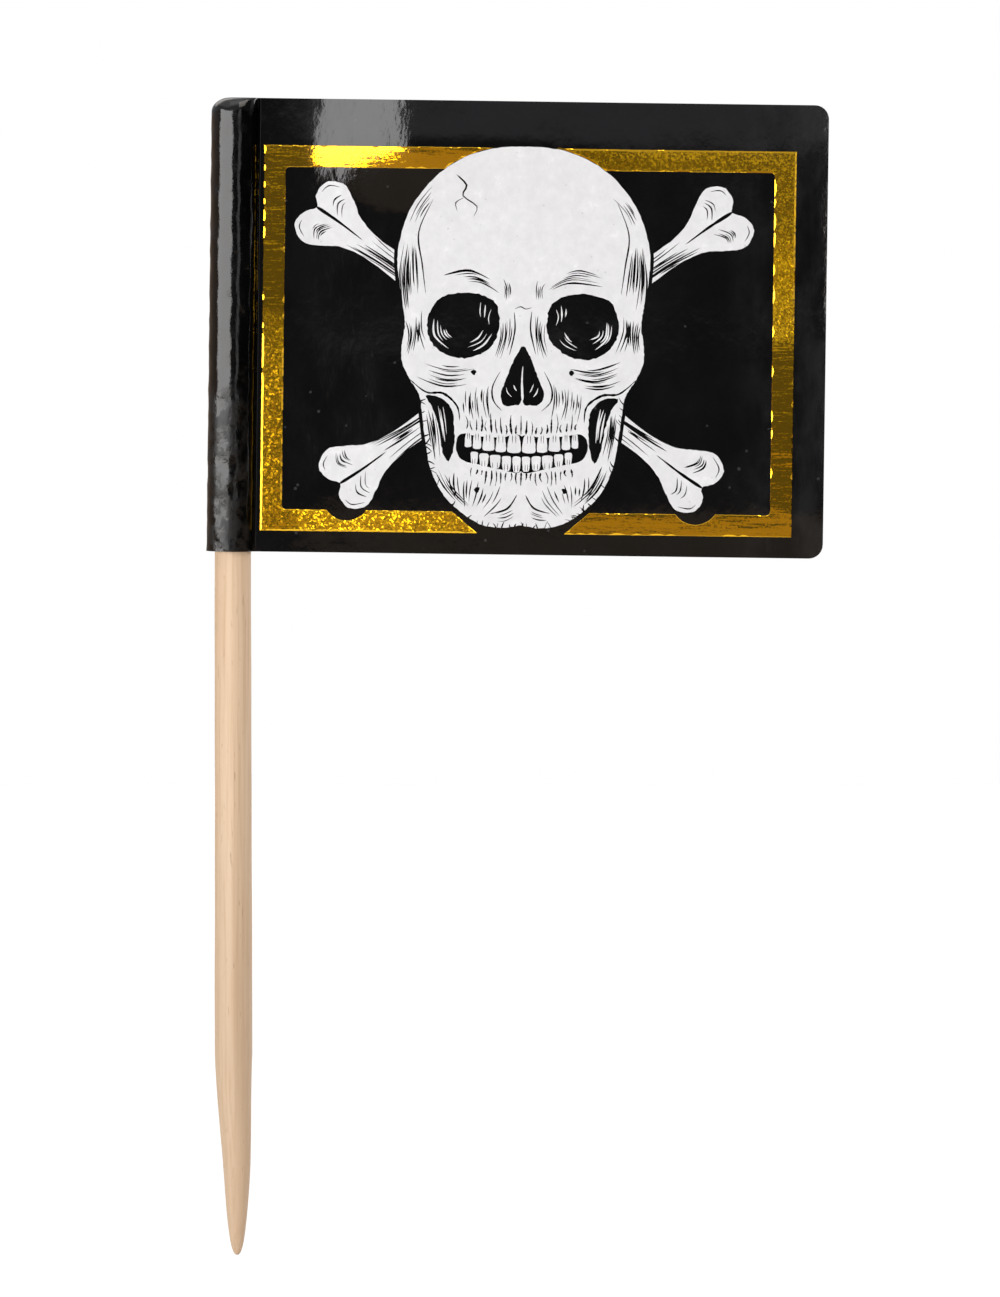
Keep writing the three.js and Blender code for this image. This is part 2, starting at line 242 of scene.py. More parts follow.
# %% One line of the sheet
corner_radius = 0.8
pinch_depth = 1.0
pinch_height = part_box("flag_paper")[1].z / MM - stick_high.z
leaf_columns = 68
neck_columns = 7
loop_columns = 76
roll_least = 0.006
roll_depth = 0.012
roll_waves = 3
sway_waves = ((0.9, 0.55, 0), (0.6, 1.7, 1))
dent_depth = 0.025
dent_waves = ((4, 2.1, 0), (-5, 3.3, 1), (7, 4.7, 0))


def pinch_at(z):
    above = np.clip((z - half_height + pinch_height) / pinch_height, 0, 1)
    return pinch_depth * (1 - math.sqrt(1 - above * above))


def free_edge_at(z):
    share = np.clip((abs(z) - half_height + corner_radius) / corner_radius, 0, 1)
    return flag_reach - corner_radius * (1 - math.sqrt(1 - share * share))


def unevenness(angle, z, waves):
    """From 0 to 2. Each wave has its turns round the piece, its pace along it and its phase."""
    total = sum(np.sin(turns * angle + pace * z + phase) for turns, pace, phase in waves)
    return 1 + total / len(waves)


def roll_at(angle, z):
    """How far the loop gives inwards where it was rolled on."""
    sway = sum(size * np.sin(pace * z + phase) for size, pace, phase in sway_waves)
    roll = roll_depth * (1 - np.cos(roll_waves * angle + sway)) / 2
    return roll_least + roll + dent_depth * unevenness(angle, z, dent_waves)


def arc(centre_x, centre_y, radius, start, end, count):
    angle = np.linspace(start, end, count)
    return np.column_stack([centre_x + radius * np.cos(angle), centre_y + radius * np.sin(angle)])


def sheet_line(z, offset):
    """The paper's line at one height, moved outwards from its middle: front leaf to back leaf."""
    pinch = pinch_at(z)
    loop = loop_radius - pinch / 2
    loop_x = pinch / 2
    neck_x = loop_x + neck_reach(loop)
    neck_y = leaf_middle + neck_radius
    meet = math.atan2(-neck_y, neck_x - loop_x)
    bend = neck_radius - offset
    around = np.linspace(meet, -2 * math.pi - meet, loop_columns)
    radius = loop + offset - roll_at(around, z)
    ring = np.column_stack([loop_x + radius * np.cos(around), radius * np.sin(around)])
    leaf_x = np.linspace(free_edge_at(z), neck_x, leaf_columns, endpoint=False)
    front = np.column_stack([leaf_x, np.full(leaf_columns, -leaf_middle - offset)])
    line = np.concatenate([
        front,
        arc(neck_x, -neck_y, bend, math.pi / 2, math.pi + meet, neck_columns)[:-1],
        ring,
        arc(neck_x, neck_y, bend, math.pi - meet, 3 * math.pi / 2, neck_columns)[1:],
        (front * (1, -1))[::-1],
    ])
    line[:, 1] += bow(line[:, 0], z)
    return line


# %% Build the sheet
corner_count, pinch_count, body_count = 9, 15, 50
corner_turns, pinch_turns = (np.linspace(0, math.pi / 2, count) for count in (corner_count, pinch_count))
corner_levels = half_height - corner_radius * (1 - np.sin(corner_turns))
pinch_levels = half_height - pinch_height * (1 - np.sin(pinch_turns))
body_levels = np.linspace(corner_radius - half_height, half_height - corner_radius, body_count)
levels = np.unique(np.concatenate([-corner_levels, body_levels, corner_levels, pinch_levels]).round(2))
levels[[0, -1]] = -half_height, half_height


def sheet_grid(offset):
    rows = []
    for z in levels:
        line = sheet_line(z, offset)
        rows.append(place(np.column_stack([line, np.full(len(line), z)])))
    return np.array(rows)


points, faces = closed_sheet(sheet_grid(paper_thickness / 2), sheet_grid(-paper_thickness / 2))
flag_sheet = make_piece("flag_sheet", points, faces, "flag_paper")

# %% [markdown]
# ## The glue
# Label glue lies between the leaves and fills the loop up to the stick. Only its edge can
# be seen, from above, from below and along the free edge. It is lofted through outlines with a
# hole, whose outer side is the paper's inner side, so that the two stay in contact.

# %% Build the glue
stick_gap = 0.02
bore_points = 64
belly_height = 14.0
belly_half = stick_high.y
top_points = cad_points("stick")[:, 2] > stick_high.z - 1
top_half = np.abs(cad_points("stick")[top_points, 1]).max()
corner_power = 1.65


def stick_half_width(z):
    """Half the width of the stick above its point, from corner to corner, at a height on it."""
    share = np.clip((z - belly_height) / (stick_high.z - belly_height), 0, 1)
    return belly_half + (top_half - belly_half) * share


def rounded_square(angle, half_width, power):
    spread = np.abs(np.cos(angle)) ** power + np.abs(np.sin(angle)) ** power
    return half_width / spread ** (1 / power)


def glue_loops(z):
    """The glue's outline and its hole at one height."""
    pinch = pinch_at(z)
    angle = np.linspace(0, -2 * math.pi, bore_points, endpoint=False)
    if pinch > 0:
        centre = pinch / 2
        radius = np.full(bore_points, loop_radius - paper_thickness - pinch / 2)
    else:
        centre = -z * math.tan(skew)
        radius = rounded_square(angle, stick_half_width(flag_middle + z), corner_power) + stick_gap
    bore = np.column_stack([centre + radius * np.cos(angle), radius * np.sin(angle)])
    return sheet_line(z, -paper_thickness / 2)[::-1], bore


def loft(levels, loops_at):
    """Points and faces of a closed solid through an outline with a hole at each level."""
    rows = [[np.column_stack([loop, np.full(len(loop), z)]) for loop in loops_at(z)] for z in levels]
    points = [loop for row in rows for loop in row]
    starts = np.cumsum([0] + [len(loop) for loop in points]).tolist()
    faces = []
    for which in range(len(rows[0])):
        index = [np.arange(len(row[which])) + starts[len(row) * i + which] for i, row in enumerate(rows)]
        faces += grid_faces(np.array(index), closed=True)
    for row in (0, len(rows) - 1):
        cap = tessellate_polygon([[tuple(p) for p in loop] for loop in rows[row]])
        faces += [[i + starts[row * len(rows[row])] for i in face] for face in cap]
    return np.concatenate(points), faces


points, faces = loft(levels, glue_loops)
glue_layer = make_piece("glue_layer", place(points), faces, "glue_film")

# %% [markdown]
# ## Drawing tools
# The print is an ink drawing in two tones. A picture file could carry it, but it would blur
# when seen close and couldn't be changed. Here it is drawn in layers of outlines: white shapes
# and black strokes, each covering what is below it, in millimetres from the emblem's middle. A
# few tools are enough: a filled shape, a brush stroke that swells and tapers, a hatch of strokes
# that runs from one guide line to another, and nicks along an edge. A little chance keeps all
# of it from looking machined.

# %% Shapes and strokes
BARE = 0
WHITE = 1
draw = random.Random(11)
layers = []


def trace(points, start=0.0, end=1.0, closed=False, steps=6):
    """A smooth line through the points, from one share of its length to another."""
    points = [np.array(p, float) for p in points]
    spans = len(points) if closed else len(points) - 1
    count = max(3, round(spans * steps * (end - start)))
    line = []
    for i in range(count if closed else count + 1):
        at = (start + (end - start) * i / count) * spans
        span = min(int(at), spans - 1)
        t = at - span
        around = range(span - 1, span + 3)
        if closed:
            a, b, c, d = (points[k % len(points)] for k in around)
        else:
            a, b, c, d = (points[min(max(k, 0), len(points) - 1)] for k in around)
        line.append(b + 0.5 * t * (c - a + t * (2 * a - 5 * b + 4 * c - d + t * (3 * (b - c) + d - a))))
    return line


def wobble(points, size):
    return [(x + draw.uniform(-size, size), y + draw.uniform(-size, size)) for x, y in points]


def mirror(points):
    return [(-x, y) for x, y in points]


def shape(tone, points, rough=0.02, steps=6):
    layers.append((tone, wobble(trace(points, closed=True, steps=steps), rough)))


# %% Strokes and hatches
def stroke(tone, points, width, start=0.0, end=1.0, heavy=0.5, steps=6, rough=0.15):
    """A brush stroke. It is widest at the share of its length that heavy gives."""
    line = trace(points, start, end, steps=steps)
    left, right = [], []
    for i, spot in enumerate(line):
        ahead = line[min(i + 1, len(line) - 1)] - line[max(i - 1, 0)]
        across = np.array([-ahead[1], ahead[0]]) / (np.hypot(*ahead) or 1)
        t = i / (len(line) - 1)
        swell = t / heavy if t < heavy else (1 - t) / (1 - heavy)
        half = width / 2 * swell**0.6 * draw.uniform(1 - rough, 1 + rough)
        left.append(spot + across * half)
        right.append(spot - across * half)
    layers.append((tone, left + right[-2:0:-1]))


def hatch(tone, first, last, count, width, ragged=0.25, heavy=0.5, shake=0.04):
    """Strokes that change from the first guide line into the last."""
    for i in range(count):
        share = (i + draw.uniform(-0.25, 0.25)) / max(count - 1, 1)
        line = [(a[0] + (b[0] - a[0]) * share, a[1] + (b[1] - a[1]) * share) for a, b in zip(first, last)]
        start, end = draw.uniform(0, ragged), 1 - draw.uniform(0, ragged)
        stroke(tone, wobble(line, shake), width * draw.uniform(0.6, 1.3), start, end, heavy, steps=5)


def nicks(line, count, length, width=0.08):
    """Small slanting cuts into the edge of a shape whose outline runs clockwise."""
    for _ in range(count):
        i = draw.randrange(1, len(line) - 1)
        ahead = np.array(line[i + 1]) - line[i - 1]
        ahead = ahead / np.hypot(*ahead)
        inward = np.array([ahead[1], -ahead[0]])
        tip = line[i] + (inward + ahead * draw.uniform(-1.6, 1.6)) * length * draw.uniform(0.3, 1)
        cut = [line[i] - inward * 0.1, (line[i] + tip) / 2, tip]
        stroke(BARE, cut, width * draw.uniform(0.6, 1.5), heavy=0.1, steps=2)


def both(tool, tone, *lines, **how):
    """The same on the right and, mirrored, on the left, but never quite alike."""
    for side in (1, -1):
        sided = [
            wobble(line if side > 0 else mirror(line), 0.04) if isinstance(line, list) else line
            for line in lines
        ]
        tool(tone, *sided, **how)


# %% [markdown]
# ## The crossed bones
# They lie behind the skull, so they are drawn first. Each end is drawn in coordinates of its
# own, forwards and sideways from where its two knobs part, so that one recipe serves all four.

# %% Draw the bones
bone_high = (11.3, 7.05)
bone_low = (9.8, -7.8)


def bone_end(tip, root, size):
    """One end of a bone, which points from root to tip."""
    tip, root = np.array(tip), np.array(root)
    along = (tip - root) / np.hypot(*(tip - root))
    across = np.array([-along[1], along[0]]) * (1 if tip[0] * tip[1] > 0 else -1)

    def at(forward, sideways):
        return tuple(tip + along * forward + across * sideways)

    outline = [
        at(-7.5, 0.62), at(-3.6, 0.64), at(-1.9, 0.95), at(-0.9, 1.55 * size), at(0.1, 2.0 * size),
        at(1.0, 1.5 * size), at(1.05, 0.6), at(0.6, 0.05), at(1.05, -0.6), at(1.05, -1.5 * size),
        at(0.1, -2.0 * size), at(-0.9, -1.55 * size), at(-1.9, -0.95), at(-3.6, -0.66), at(-7.5, -0.66),
    ]
    shape(WHITE, outline)
    hatch(BARE, [at(-7.0, -0.02), at(-4.2, -0.05), at(-2.4, -0.1)],
          [at(-7.0, -0.52), at(-4.2, -0.52), at(-1.7, -0.85)], 7, 0.1, ragged=0.45)
    hatch(BARE, [at(-7.0, 0.5), at(-4.2, 0.48), at(-2.0, 0.75)],
          [at(-7.0, 0.28), at(-4.2, 0.26), at(-2.4, 0.4)], 2, 0.07, ragged=0.45)
    stroke(BARE, [at(-2.6, 0.05), at(-0.9, 0.1), at(0.7, 0.05)], 0.2, heavy=0.85)
    for sign, count in ((1, 3), (-1, 6)):
        near = [at(-1.0, 0.25 * sign), at(-0.5, 0.95 * sign), at(-0.7, 1.5 * sign)]
        far = [at(0.5, 0.35 * sign), at(0.75, 0.95 * sign), at(0.35, 1.6 * sign)]
        inner = [(a[0] + (b[0] - a[0]) * 0.45, a[1] + (b[1] - a[1]) * 0.45) for a, b in zip(near, far)]
        hatch(BARE, near, inner, count, 0.08, ragged=0.35)
        rim = [at(0.9, 0.85 * sign), at(0.75, 1.45 * sign * size), at(0.05, 1.8 * sign * size)]
        stroke(BARE, rim, 0.07, draw.uniform(0, 0.2), draw.uniform(0.8, 1))


for side in (1, -1):
    high = (side * bone_high[0], bone_high[1])
    low = (-side * bone_low[0], bone_low[1])
    bone_end(high, low, 1.0)
    bone_end(low, high, 0.97)
print(len(layers), "layers for the bones")

# %% [markdown]
# ## The skull
# Anatomy books give its proportions: the root of the nose lies just above the middle of the
# head, the eyes beside it, and the line of the teeth a fifth of the way up. One outline gives
# the whole head, with a line of bare black round it that keeps it clear of the bones. Hatching
# then turns the surfaces away at the temples, cheeks and jaw.

# %% Draw the head
head_right = [
    (0, 11.0), (2.4, 10.75), (4.6, 9.65), (6.3, 7.7), (7.1, 5.4), (7.1, 3.6), (6.85, 2.1), (6.7, 0.9),
    (6.85, -0.2), (6.85, -1.2), (6.4, -2.2), (5.85, -3.1), (5.65, -4.3), (5.45, -5.8), (5.15, -7.3),
    (4.45, -8.7), (3.5, -9.65), (2.3, -10.4), (1.1, -10.6), (0.3, -10.5),
]
head = head_right + [(0, -10.45)] + mirror(head_right[1:])[::-1]
head_steps = 9
head_line = trace(head, closed=True, steps=head_steps)
keyline = 0.2


def grown(line, by):
    """The closed line moved outwards. It has to run clockwise."""
    out = []
    for i, spot in enumerate(line):
        ahead = line[(i + 1) % len(line)] - line[i - 1]
        out.append(spot + np.array([-ahead[1], ahead[0]]) / np.hypot(*ahead) * by)
    return out


layers.append((BARE, grown(head_line, keyline)))
layers.append((WHITE, wobble(head_line, 0.02)))
half_way = len(head_right) * head_steps
nicks_below = -3
for half in (head_line[:half_way], head_line[half_way:]):
    nicks([spot for spot in half if spot[1] < nicks_below], 26, 0.4)

both(stroke, BARE, [(5.5, 2.6), (5.75, 4.3), (5.95, 6.1), (5.2, 8.0)], 0.1)
both(hatch, BARE, [(6.85, 1.4), (7.0, 3.5), (6.75, 5.9)], [(5.85, 2.2), (6.05, 3.8), (6.15, 5.3)],
     12, 0.09, ragged=0.35)
both(hatch, BARE, [(6.55, 6.6), (6.0, 7.7), (5.2, 8.7)], [(6.15, 6.5), (5.7, 7.4), (5.0, 8.2)],
     4, 0.07, ragged=0.4)
both(hatch, BARE, [(6.7, 1.2), (6.5, 0.2), (6.7, -0.9)], [(5.8, 1.4), (5.85, 0.4), (6.0, -0.7)],
     7, 0.09, ragged=0.3)
stroke(BARE, [(-3.9, 9.4), (-3.3, 8.8), (-3.5, 8.2), (-2.7, 7.6), (-2.9, 7.0)], 0.12, heavy=0.2, steps=3)
stroke(BARE, [(-3.4, 8.1), (-3.9, 7.8), (-3.8, 7.3)], 0.07, steps=3)

# %% Draw the brow and the sockets
socket = [
    (1.35, 1.25), (1.6, 2.15), (2.5, 2.65), (3.7, 2.7), (4.8, 2.35), (5.35, 1.5), (5.4, 0.5),
    (4.95, -0.4), (4.0, -0.95), (2.9, -0.95), (1.95, -0.45), (1.45, 0.35),
]
both(shape, BARE, socket, rough=0.04)
both(hatch, WHITE, [(5.05, 1.3), (4.95, 0.2), (4.1, -0.6)], [(4.35, 0.9), (4.3, 0.4), (3.8, 0.05)],
     5, 0.1, ragged=0.35)
both(hatch, WHITE, [(1.75, 0.6), (2.2, -0.2), (3.1, -0.65)], [(2.3, 0.7), (2.6, 0.2), (3.2, -0.1)],
     3, 0.09, ragged=0.35)
both(hatch, WHITE, [(1.85, 1.9), (2.0, 1.4), (1.95, 0.9)], [(2.4, 2.2), (2.4, 1.6), (2.35, 1.2)],
     3, 0.07, ragged=0.3)
both(hatch, BARE, [(1.2, 2.7), (2.6, 3.35), (4.6, 3.1)], [(1.9, 3.6), (3.1, 4.0), (4.6, 3.7)],
     6, 0.09, ragged=0.4)
both(hatch, BARE, [(1.15, 2.2), (1.05, 2.9), (1.3, 3.5)], [(0.75, 2.1), (0.7, 2.9), (0.9, 3.6)],
     4, 0.08, ragged=0.35)
both(hatch, BARE, [(5.7, 1.9), (5.7, 0.6), (5.2, -0.7)], [(6.0, 1.3), (6.0, 0.3), (5.7, -0.7)],
     3, 0.08, ragged=0.3)

# %% Draw the nose
both(shape, BARE, [
    (0.0, -0.45), (0.35, -0.75), (0.65, -1.5), (1.05, -2.4), (1.25, -3.05), (1.0, -3.6), (0.5, -3.65),
    (0.0, -3.3),
])
stroke(WHITE, [(0.02, -1.4), (-0.02, -2.3), (0.03, -3.4)], 0.14, heavy=0.85)
both(hatch, WHITE, [(0.95, -2.6), (0.85, -3.0), (0.6, -3.2)], [(0.6, -2.4), (0.5, -2.7), (0.4, -2.9)],
     2, 0.08, ragged=0.2)
both(stroke, BARE, [(0.5, 1.7), (0.45, 0.6), (0.75, -0.8)], 0.1)
both(hatch, BARE, [(0.7, 1.6), (0.7, 0.4), (1.0, -1.0)], [(1.2, 1.0), (1.2, 0.1), (1.6, -1.1)],
     6, 0.08, ragged=0.35)
stroke(BARE, [(-0.5, 1.8), (-0.15, 1.95), (0.15, 1.82), (0.5, 1.92)], 0.07, steps=3)
both(stroke, BARE, [(1.25, -1.7), (1.65, -2.6), (1.6, -3.4), (1.1, -4.0)], 0.1)

# %% Draw the cheeks
both(hatch, BARE, [(2.3, -1.35), (4.1, -1.6), (5.8, -1.1)], [(3.0, -2.5), (4.5, -2.7), (6.1, -2.1)],
     10, 0.09, ragged=0.4)
both(stroke, BARE, [(6.5, -2.15), (5.5, -2.95), (4.5, -3.05), (3.7, -3.7), (3.5, -4.6)], 0.16, rough=0.3)
both(shape, BARE, [
    (5.45, -3.2), (4.55, -3.3), (3.95, -3.95), (3.8, -4.9), (3.85, -6.0), (4.15, -6.9), (4.5, -6.2),
    (4.7, -4.9), (5.05, -3.9),
], rough=0.03)
both(hatch, WHITE, [(4.5, -3.7), (4.3, -4.7), (4.2, -5.8)], [(4.8, -3.7), (4.6, -4.7), (4.4, -5.8)],
     3, 0.09, ragged=0.3)
both(hatch, BARE, [(5.5, -3.6), (5.25, -5.1), (4.95, -6.9)], [(4.95, -4.2), (4.8, -5.3), (4.6, -6.7)],
     6, 0.09, ragged=0.35)
both(hatch, BARE, [(1.75, -2.2), (1.9, -3.3), (1.7, -4.5)], [(3.4, -2.9), (3.35, -3.7), (3.2, -4.7)],
     11, 0.09, ragged=0.45, shake=0.06)
both(shape, BARE, [(2.6, -1.75), (2.8, -1.6), (2.95, -1.8), (2.75, -1.95)])

# %% Draw the teeth
upper_widths = (0.84, 0.66, 0.74, 0.56, 0.46)
lower_widths = (0.54, 0.6, 0.68, 0.6, 0.5)
tooth_gap = 0.09


def bite(x):
    """Height of the line between the teeth."""
    return -6.45 + 0.034 * x * x


mouth_right = [(x, bite(x) + 1.0 - 0.06 * x) for x in (0, 1.2, 2.4, 3.4)]
mouth_right += [(3.75, -6.0)] + [(x, bite(x) - 0.92 + 0.06 * x) for x in (3.4, 2.4, 1.2, 0)]
both(shape, BARE, mouth_right, rough=0.02)


def tooth(middle, width, near, far):
    """One tooth, from the bite to its neck."""
    half = (width - tooth_gap) / 2
    side = [(0.94, 0.06), (1.0, 0.35), (0.86, 0.75), (0.62, 0.97)]
    outline = [(middle + half * share, near + (far - near) * depth) for share, depth in side]
    outline += [(middle, far)]
    outline += [(middle - half * share, near + (far - near) * depth) for share, depth in side[::-1]]
    shape(WHITE, outline + [(middle, near)], rough=0.012, steps=3)
    for share in (-0.35, 0.3):
        x = middle + (share + draw.uniform(-0.15, 0.15)) * half
        root = [(x, far), (x, far * 0.7 + near * 0.3), (x, (far + near) / 2)]
        stroke(BARE, root, 0.045, heavy=0.1, steps=2)


for widths, row, length in ((upper_widths, 1, 1.05), (lower_widths, -1, 0.9)):
    edge = 0.0
    for number, width in enumerate(widths):
        for side in (1, -1):
            middle = side * (edge + width / 2)
            near = bite(middle) + row * 0.09
            tooth(middle, width, near, near + row * (length - 0.05 * number) * draw.uniform(0.95, 1.04))
        edge += width

# %% Draw the roots, the chin and the jaw
for row, base, tall, reach in ((1, -5.3, 1.15, 3.1), (-1, -7.45, 0.9, 2.8)):
    for x in np.arange(-reach, reach + 0.1, 0.28):
        start = base + 0.03 * x * x
        end = start + row * tall * draw.uniform(0.35, 1)
        bend = draw.uniform(-0.08, 0.08)
        line = [(x, start), (x * 1.01 + bend, (start + end) / 2), (x * 1.03, end)]
        stroke(BARE, wobble(line, 0.04), draw.uniform(0.06, 0.13), heavy=0.25, rough=0.3)
both(hatch, BARE, [(0.9, -8.3), (1.3, -9.2), (2.2, -10.1)], [(4.2, -7.3), (4.1, -8.2), (3.5, -9.3)],
     12, 0.09, ragged=0.45, shake=0.06)
both(hatch, BARE, [(5.1, -6.9), (4.4, -8.4), (3.2, -9.6)], [(4.6, -7.0), (3.9, -8.3), (2.8, -9.3)],
     6, 0.08, ragged=0.35)
both(stroke, BARE, [(0.25, -8.7), (0.75, -9.5), (1.7, -9.8)], 0.13, rough=0.3)
both(hatch, BARE, [(0.3, -9.9), (1.0, -10.2), (1.8, -10.2)], [(0.35, -9.5), (0.9, -9.8), (1.5, -9.95)],
     3, 0.07, ragged=0.3)
both(shape, BARE, [(2.35, -8.4), (2.55, -8.3), (2.65, -8.5), (2.45, -8.65)])
print(len(layers), "layers in the whole drawing")

# %% [markdown]
# ## From drawing to film
# Ink is a real layer, though thinner than the two hundredths of a millimetre that the model
# gives it, so it gets a mesh. We could subtract every black stroke with a boolean, but hundreds
# of them are slow and may fail. A
# Delaunay net through all the outlines at once is quick and never fails: each of its triangles
# belongs to the uppermost layer that covers its middle, and the white ones are kept. Extra
# points on a lattice keep the triangles small enough to follow the bowed leaf.

# %% Cut the layers into triangles
merge_distance = 1e-5
ink_lattice = 0.7


def covers(outline, spots):
    """Which spots the outline winds round."""
    ring = np.array(outline)
    inside = np.zeros(len(spots), bool)
    near = np.flatnonzero(((spots >= ring.min(0)) & (spots <= ring.max(0))).all(axis=1))
    x, y = spots[near].T
    turns = np.zeros(len(near), int)
    for a, b in zip(ring, np.roll(ring, -1, axis=0)):
        if a[1] == b[1]:
            continue
        crossed = (a[1] <= y) != (b[1] <= y)
        beside = x < a[0] + (y - a[1]) * (b[0] - a[0]) / (b[1] - a[1])
        turns += (crossed & beside) * (1 if b[1] > a[1] else -1)
    inside[near] = turns != 0
    return inside


def cut_out(layers, lattice):
    """The net's points, and the triangles whose uppermost layer is to be kept."""
    points, edges = [], []
    for _, outline in layers:
        start = len(points)
        count = len(outline)
        points += [tuple(p) for p in outline]
        edges += [(start + i, start + (i + 1) % count) for i in range(count)]
    low, high = np.min(points, axis=0), np.max(points, axis=0)
    columns = np.arange(low[0] + lattice / 2, high[0], lattice)
    rows = np.arange(low[1] + lattice / 2, high[1], lattice)
    points += [(x, y) for x in columns for y in rows]
    net = delaunay_2d_cdt(points, edges, [], 0, merge_distance)
    spots = np.array([tuple(p) for p in net[0]])
    triangles = np.array(net[2])
    middles = spots[triangles].mean(axis=1)
    tone = np.full(len(triangles), BARE)
    for layer_tone, outline in layers:
        tone[covers(outline, middles)] = layer_tone
    kept = triangles[tone == WHITE]
    used, renumbered = np.unique(kept, return_inverse=True)
    return spots[used], renumbered.reshape(-1, 3)


ink_points, ink_triangles = cut_out(layers, ink_lattice)
print("ink:", len(ink_points), "points,", len(ink_triangles), "triangles")


# %% Lay a film on a leaf
def border(triangles):
    """The edges that only one triangle has, in the direction in which it runs."""
    edges = np.concatenate([triangles[:, [0, 1]], triangles[:, [1, 2]], triangles[:, [2, 0]]])
    there = set(map(tuple, edges.tolist()))
    return [(a, b) for a, b in there if (b, a) not in there]


def on_leaf(flat, height, side):
    """Points of the drawing on the front leaf, side -1, or turned round on the back leaf, side 1."""
    x = frame_centre[0] - side * flat[:, 0]
    z = frame_centre[1] + flat[:, 1]
    y = bow(x, z) + side * (leaf_face + height)
    return place(np.column_stack([x, y, z]))


emblem_shift = -0.3
ink_flat = ink_points + (emblem_shift, 0)
ink_walls = [[a, b, b + len(ink_flat), a + len(ink_flat)] for a, b in sorted(border(ink_triangles))]
ink_faces = (ink_triangles + len(ink_flat)).tolist() + ink_triangles[:, ::-1].tolist() + ink_walls
emblems = []
for side, name, node in ((-1, "emblem_front", "print_front"), (1, "emblem_back", "print_back")):
    points = np.concatenate([on_leaf(ink_flat, 0, side), on_leaf(ink_flat, film_thickness, side)])
    emblems.append(make_piece(name, points, ink_faces, node))

# %% [markdown]
# ## The gold frame
# The foil is stamped on with a hot die, which presses its edge into the paper. That edge is what
# glitters, so it needs a slope of its own: the film is full height inside and runs out to
# nothing at its border. In places the edge is sheer instead and stays dark, which makes dashes,
# most of all along the inner edges. The skull and the lower bones' knobs interrupt the frame, so
# their outlines cut it, and the skull splits it into two pieces.

# %% Outline of the frame
frame_bar = 1.22
inner_corner = 0.2
dome_gap = 0.03
chin_gap_upper = 7.9
chin_gap_lower = 4.7
chin_gap_over = (0.1, 0.05)
knob_middle = (0.1, -1.15)
knob_radius = 1.0
knob_gap = 0.35
foil_step = 0.16
frame_lattice = 5.0
corner_points = 4
circle_points = 40


def resampled(line, step):
    """The closed line with points an even step apart, keeping its corners."""
    corners = [np.array(line[0])]
    for spot in line[1:]:
        if np.hypot(*(spot - corners[-1])) > step / 4:
            corners.append(np.array(spot))
    out = []
    for a, b in zip(corners, corners[1:] + corners[:1]):
        count = max(1, round(np.hypot(*(b - a)) / step))
        out += [a + (b - a) * i / count for i in range(count)]
    return out


def rectangle(half_width, half_height, corner):
    x, y = half_width - corner, half_height - corner
    out = []
    for quarter, (side_x, side_y) in enumerate(((1, 1), (-1, 1), (-1, -1), (1, -1))):
        for turn_share in np.linspace(0, 1, corner_points if corner else 1):
            angle = (quarter + turn_share) * math.pi / 2
            out.append((side_x * x + corner * math.cos(angle), side_y * y + corner * math.sin(angle)))
    return out


def circle(centre, radius):
    turns = np.linspace(0, 2 * math.pi, circle_points, endpoint=False)
    return [(centre[0] + radius * math.cos(t), centre[1] + radius * math.sin(t)) for t in turns]


half_x, half_y = frame_half
head_shifted = [spot + (emblem_shift, 0) for spot in grown(head_line, dome_gap)]
bar_low, bar_high = -half_y - chin_gap_over[0], -half_y + frame_bar + chin_gap_over[1]
chin_gap = [
    (emblem_shift - chin_gap_lower / 2, bar_low), (emblem_shift + chin_gap_lower / 2, bar_low),
    (emblem_shift + chin_gap_upper / 2, bar_high), (emblem_shift - chin_gap_upper / 2, bar_high),
]
frame_layers = [
    (WHITE, rectangle(half_x, half_y, 0)),
    (BARE, rectangle(half_x - frame_bar, half_y - frame_bar, inner_corner)),
    (BARE, head_shifted),
    (BARE, chin_gap),
]
for side in (1, -1):
    knob = np.array([side * (bone_low[0] + knob_middle[0]), bone_low[1] + knob_middle[1]])
    frame_layers.append((BARE, circle(knob + (emblem_shift, 0), knob_radius + knob_gap)))
frame_points, frame_triangles = cut_out(frame_layers, frame_lattice)
print("frame outline:", len(frame_points), "points")


# %% Slope the foil's edges
rim_steep = 0.02
rim_width = 0.075
rim_uneven = 0.1
rim_shake = 0.008
rim_patch = 2
glitter_least, glitter_most = 0.3, 0.97
full_glitter = 0.3
inner_share = 0.5
on_outer_edge = 0.97


def loops_of(triangles):
    """The borders of a set of triangles, each as one ring of point numbers."""
    follow = {}
    for a, b in sorted(border(triangles)):
        follow.setdefault(a, []).append(b)
    rings = []
    while follow:
        ring = [min(follow)]
        while ring[-1] in follow:
            ahead = follow[ring[-1]].pop()
            if not follow[ring[-1]]:
                del follow[ring[-1]]
            ring.append(ahead)
        rings.append(ring[:-1])
    return rings


def glitter_at(spot):
    """The share of the edge that slopes. It is greatest on the diagonal where the die pressed hard."""
    across, up = spot / (half_x, half_y)
    share = glitter_least + (glitter_most - glitter_least) * ease(across * up / full_glitter)
    return share if max(abs(across), abs(up)) > on_outer_edge else share * inner_share


def inset(line, depths):
    """The anticlockwise line moved inwards by a depth at each point."""
    out = []
    for i, spot in enumerate(line):
        before = spot - line[i - 1]
        after = line[(i + 1) % len(line)] - spot
        normals = [np.array([-v[1], v[0]]) / np.hypot(*v) for v in (before, after)]
        middle = normals[0] + normals[1]
        out.append(spot + middle * depths[i] * 2 / max(middle @ middle, 1))
    return out


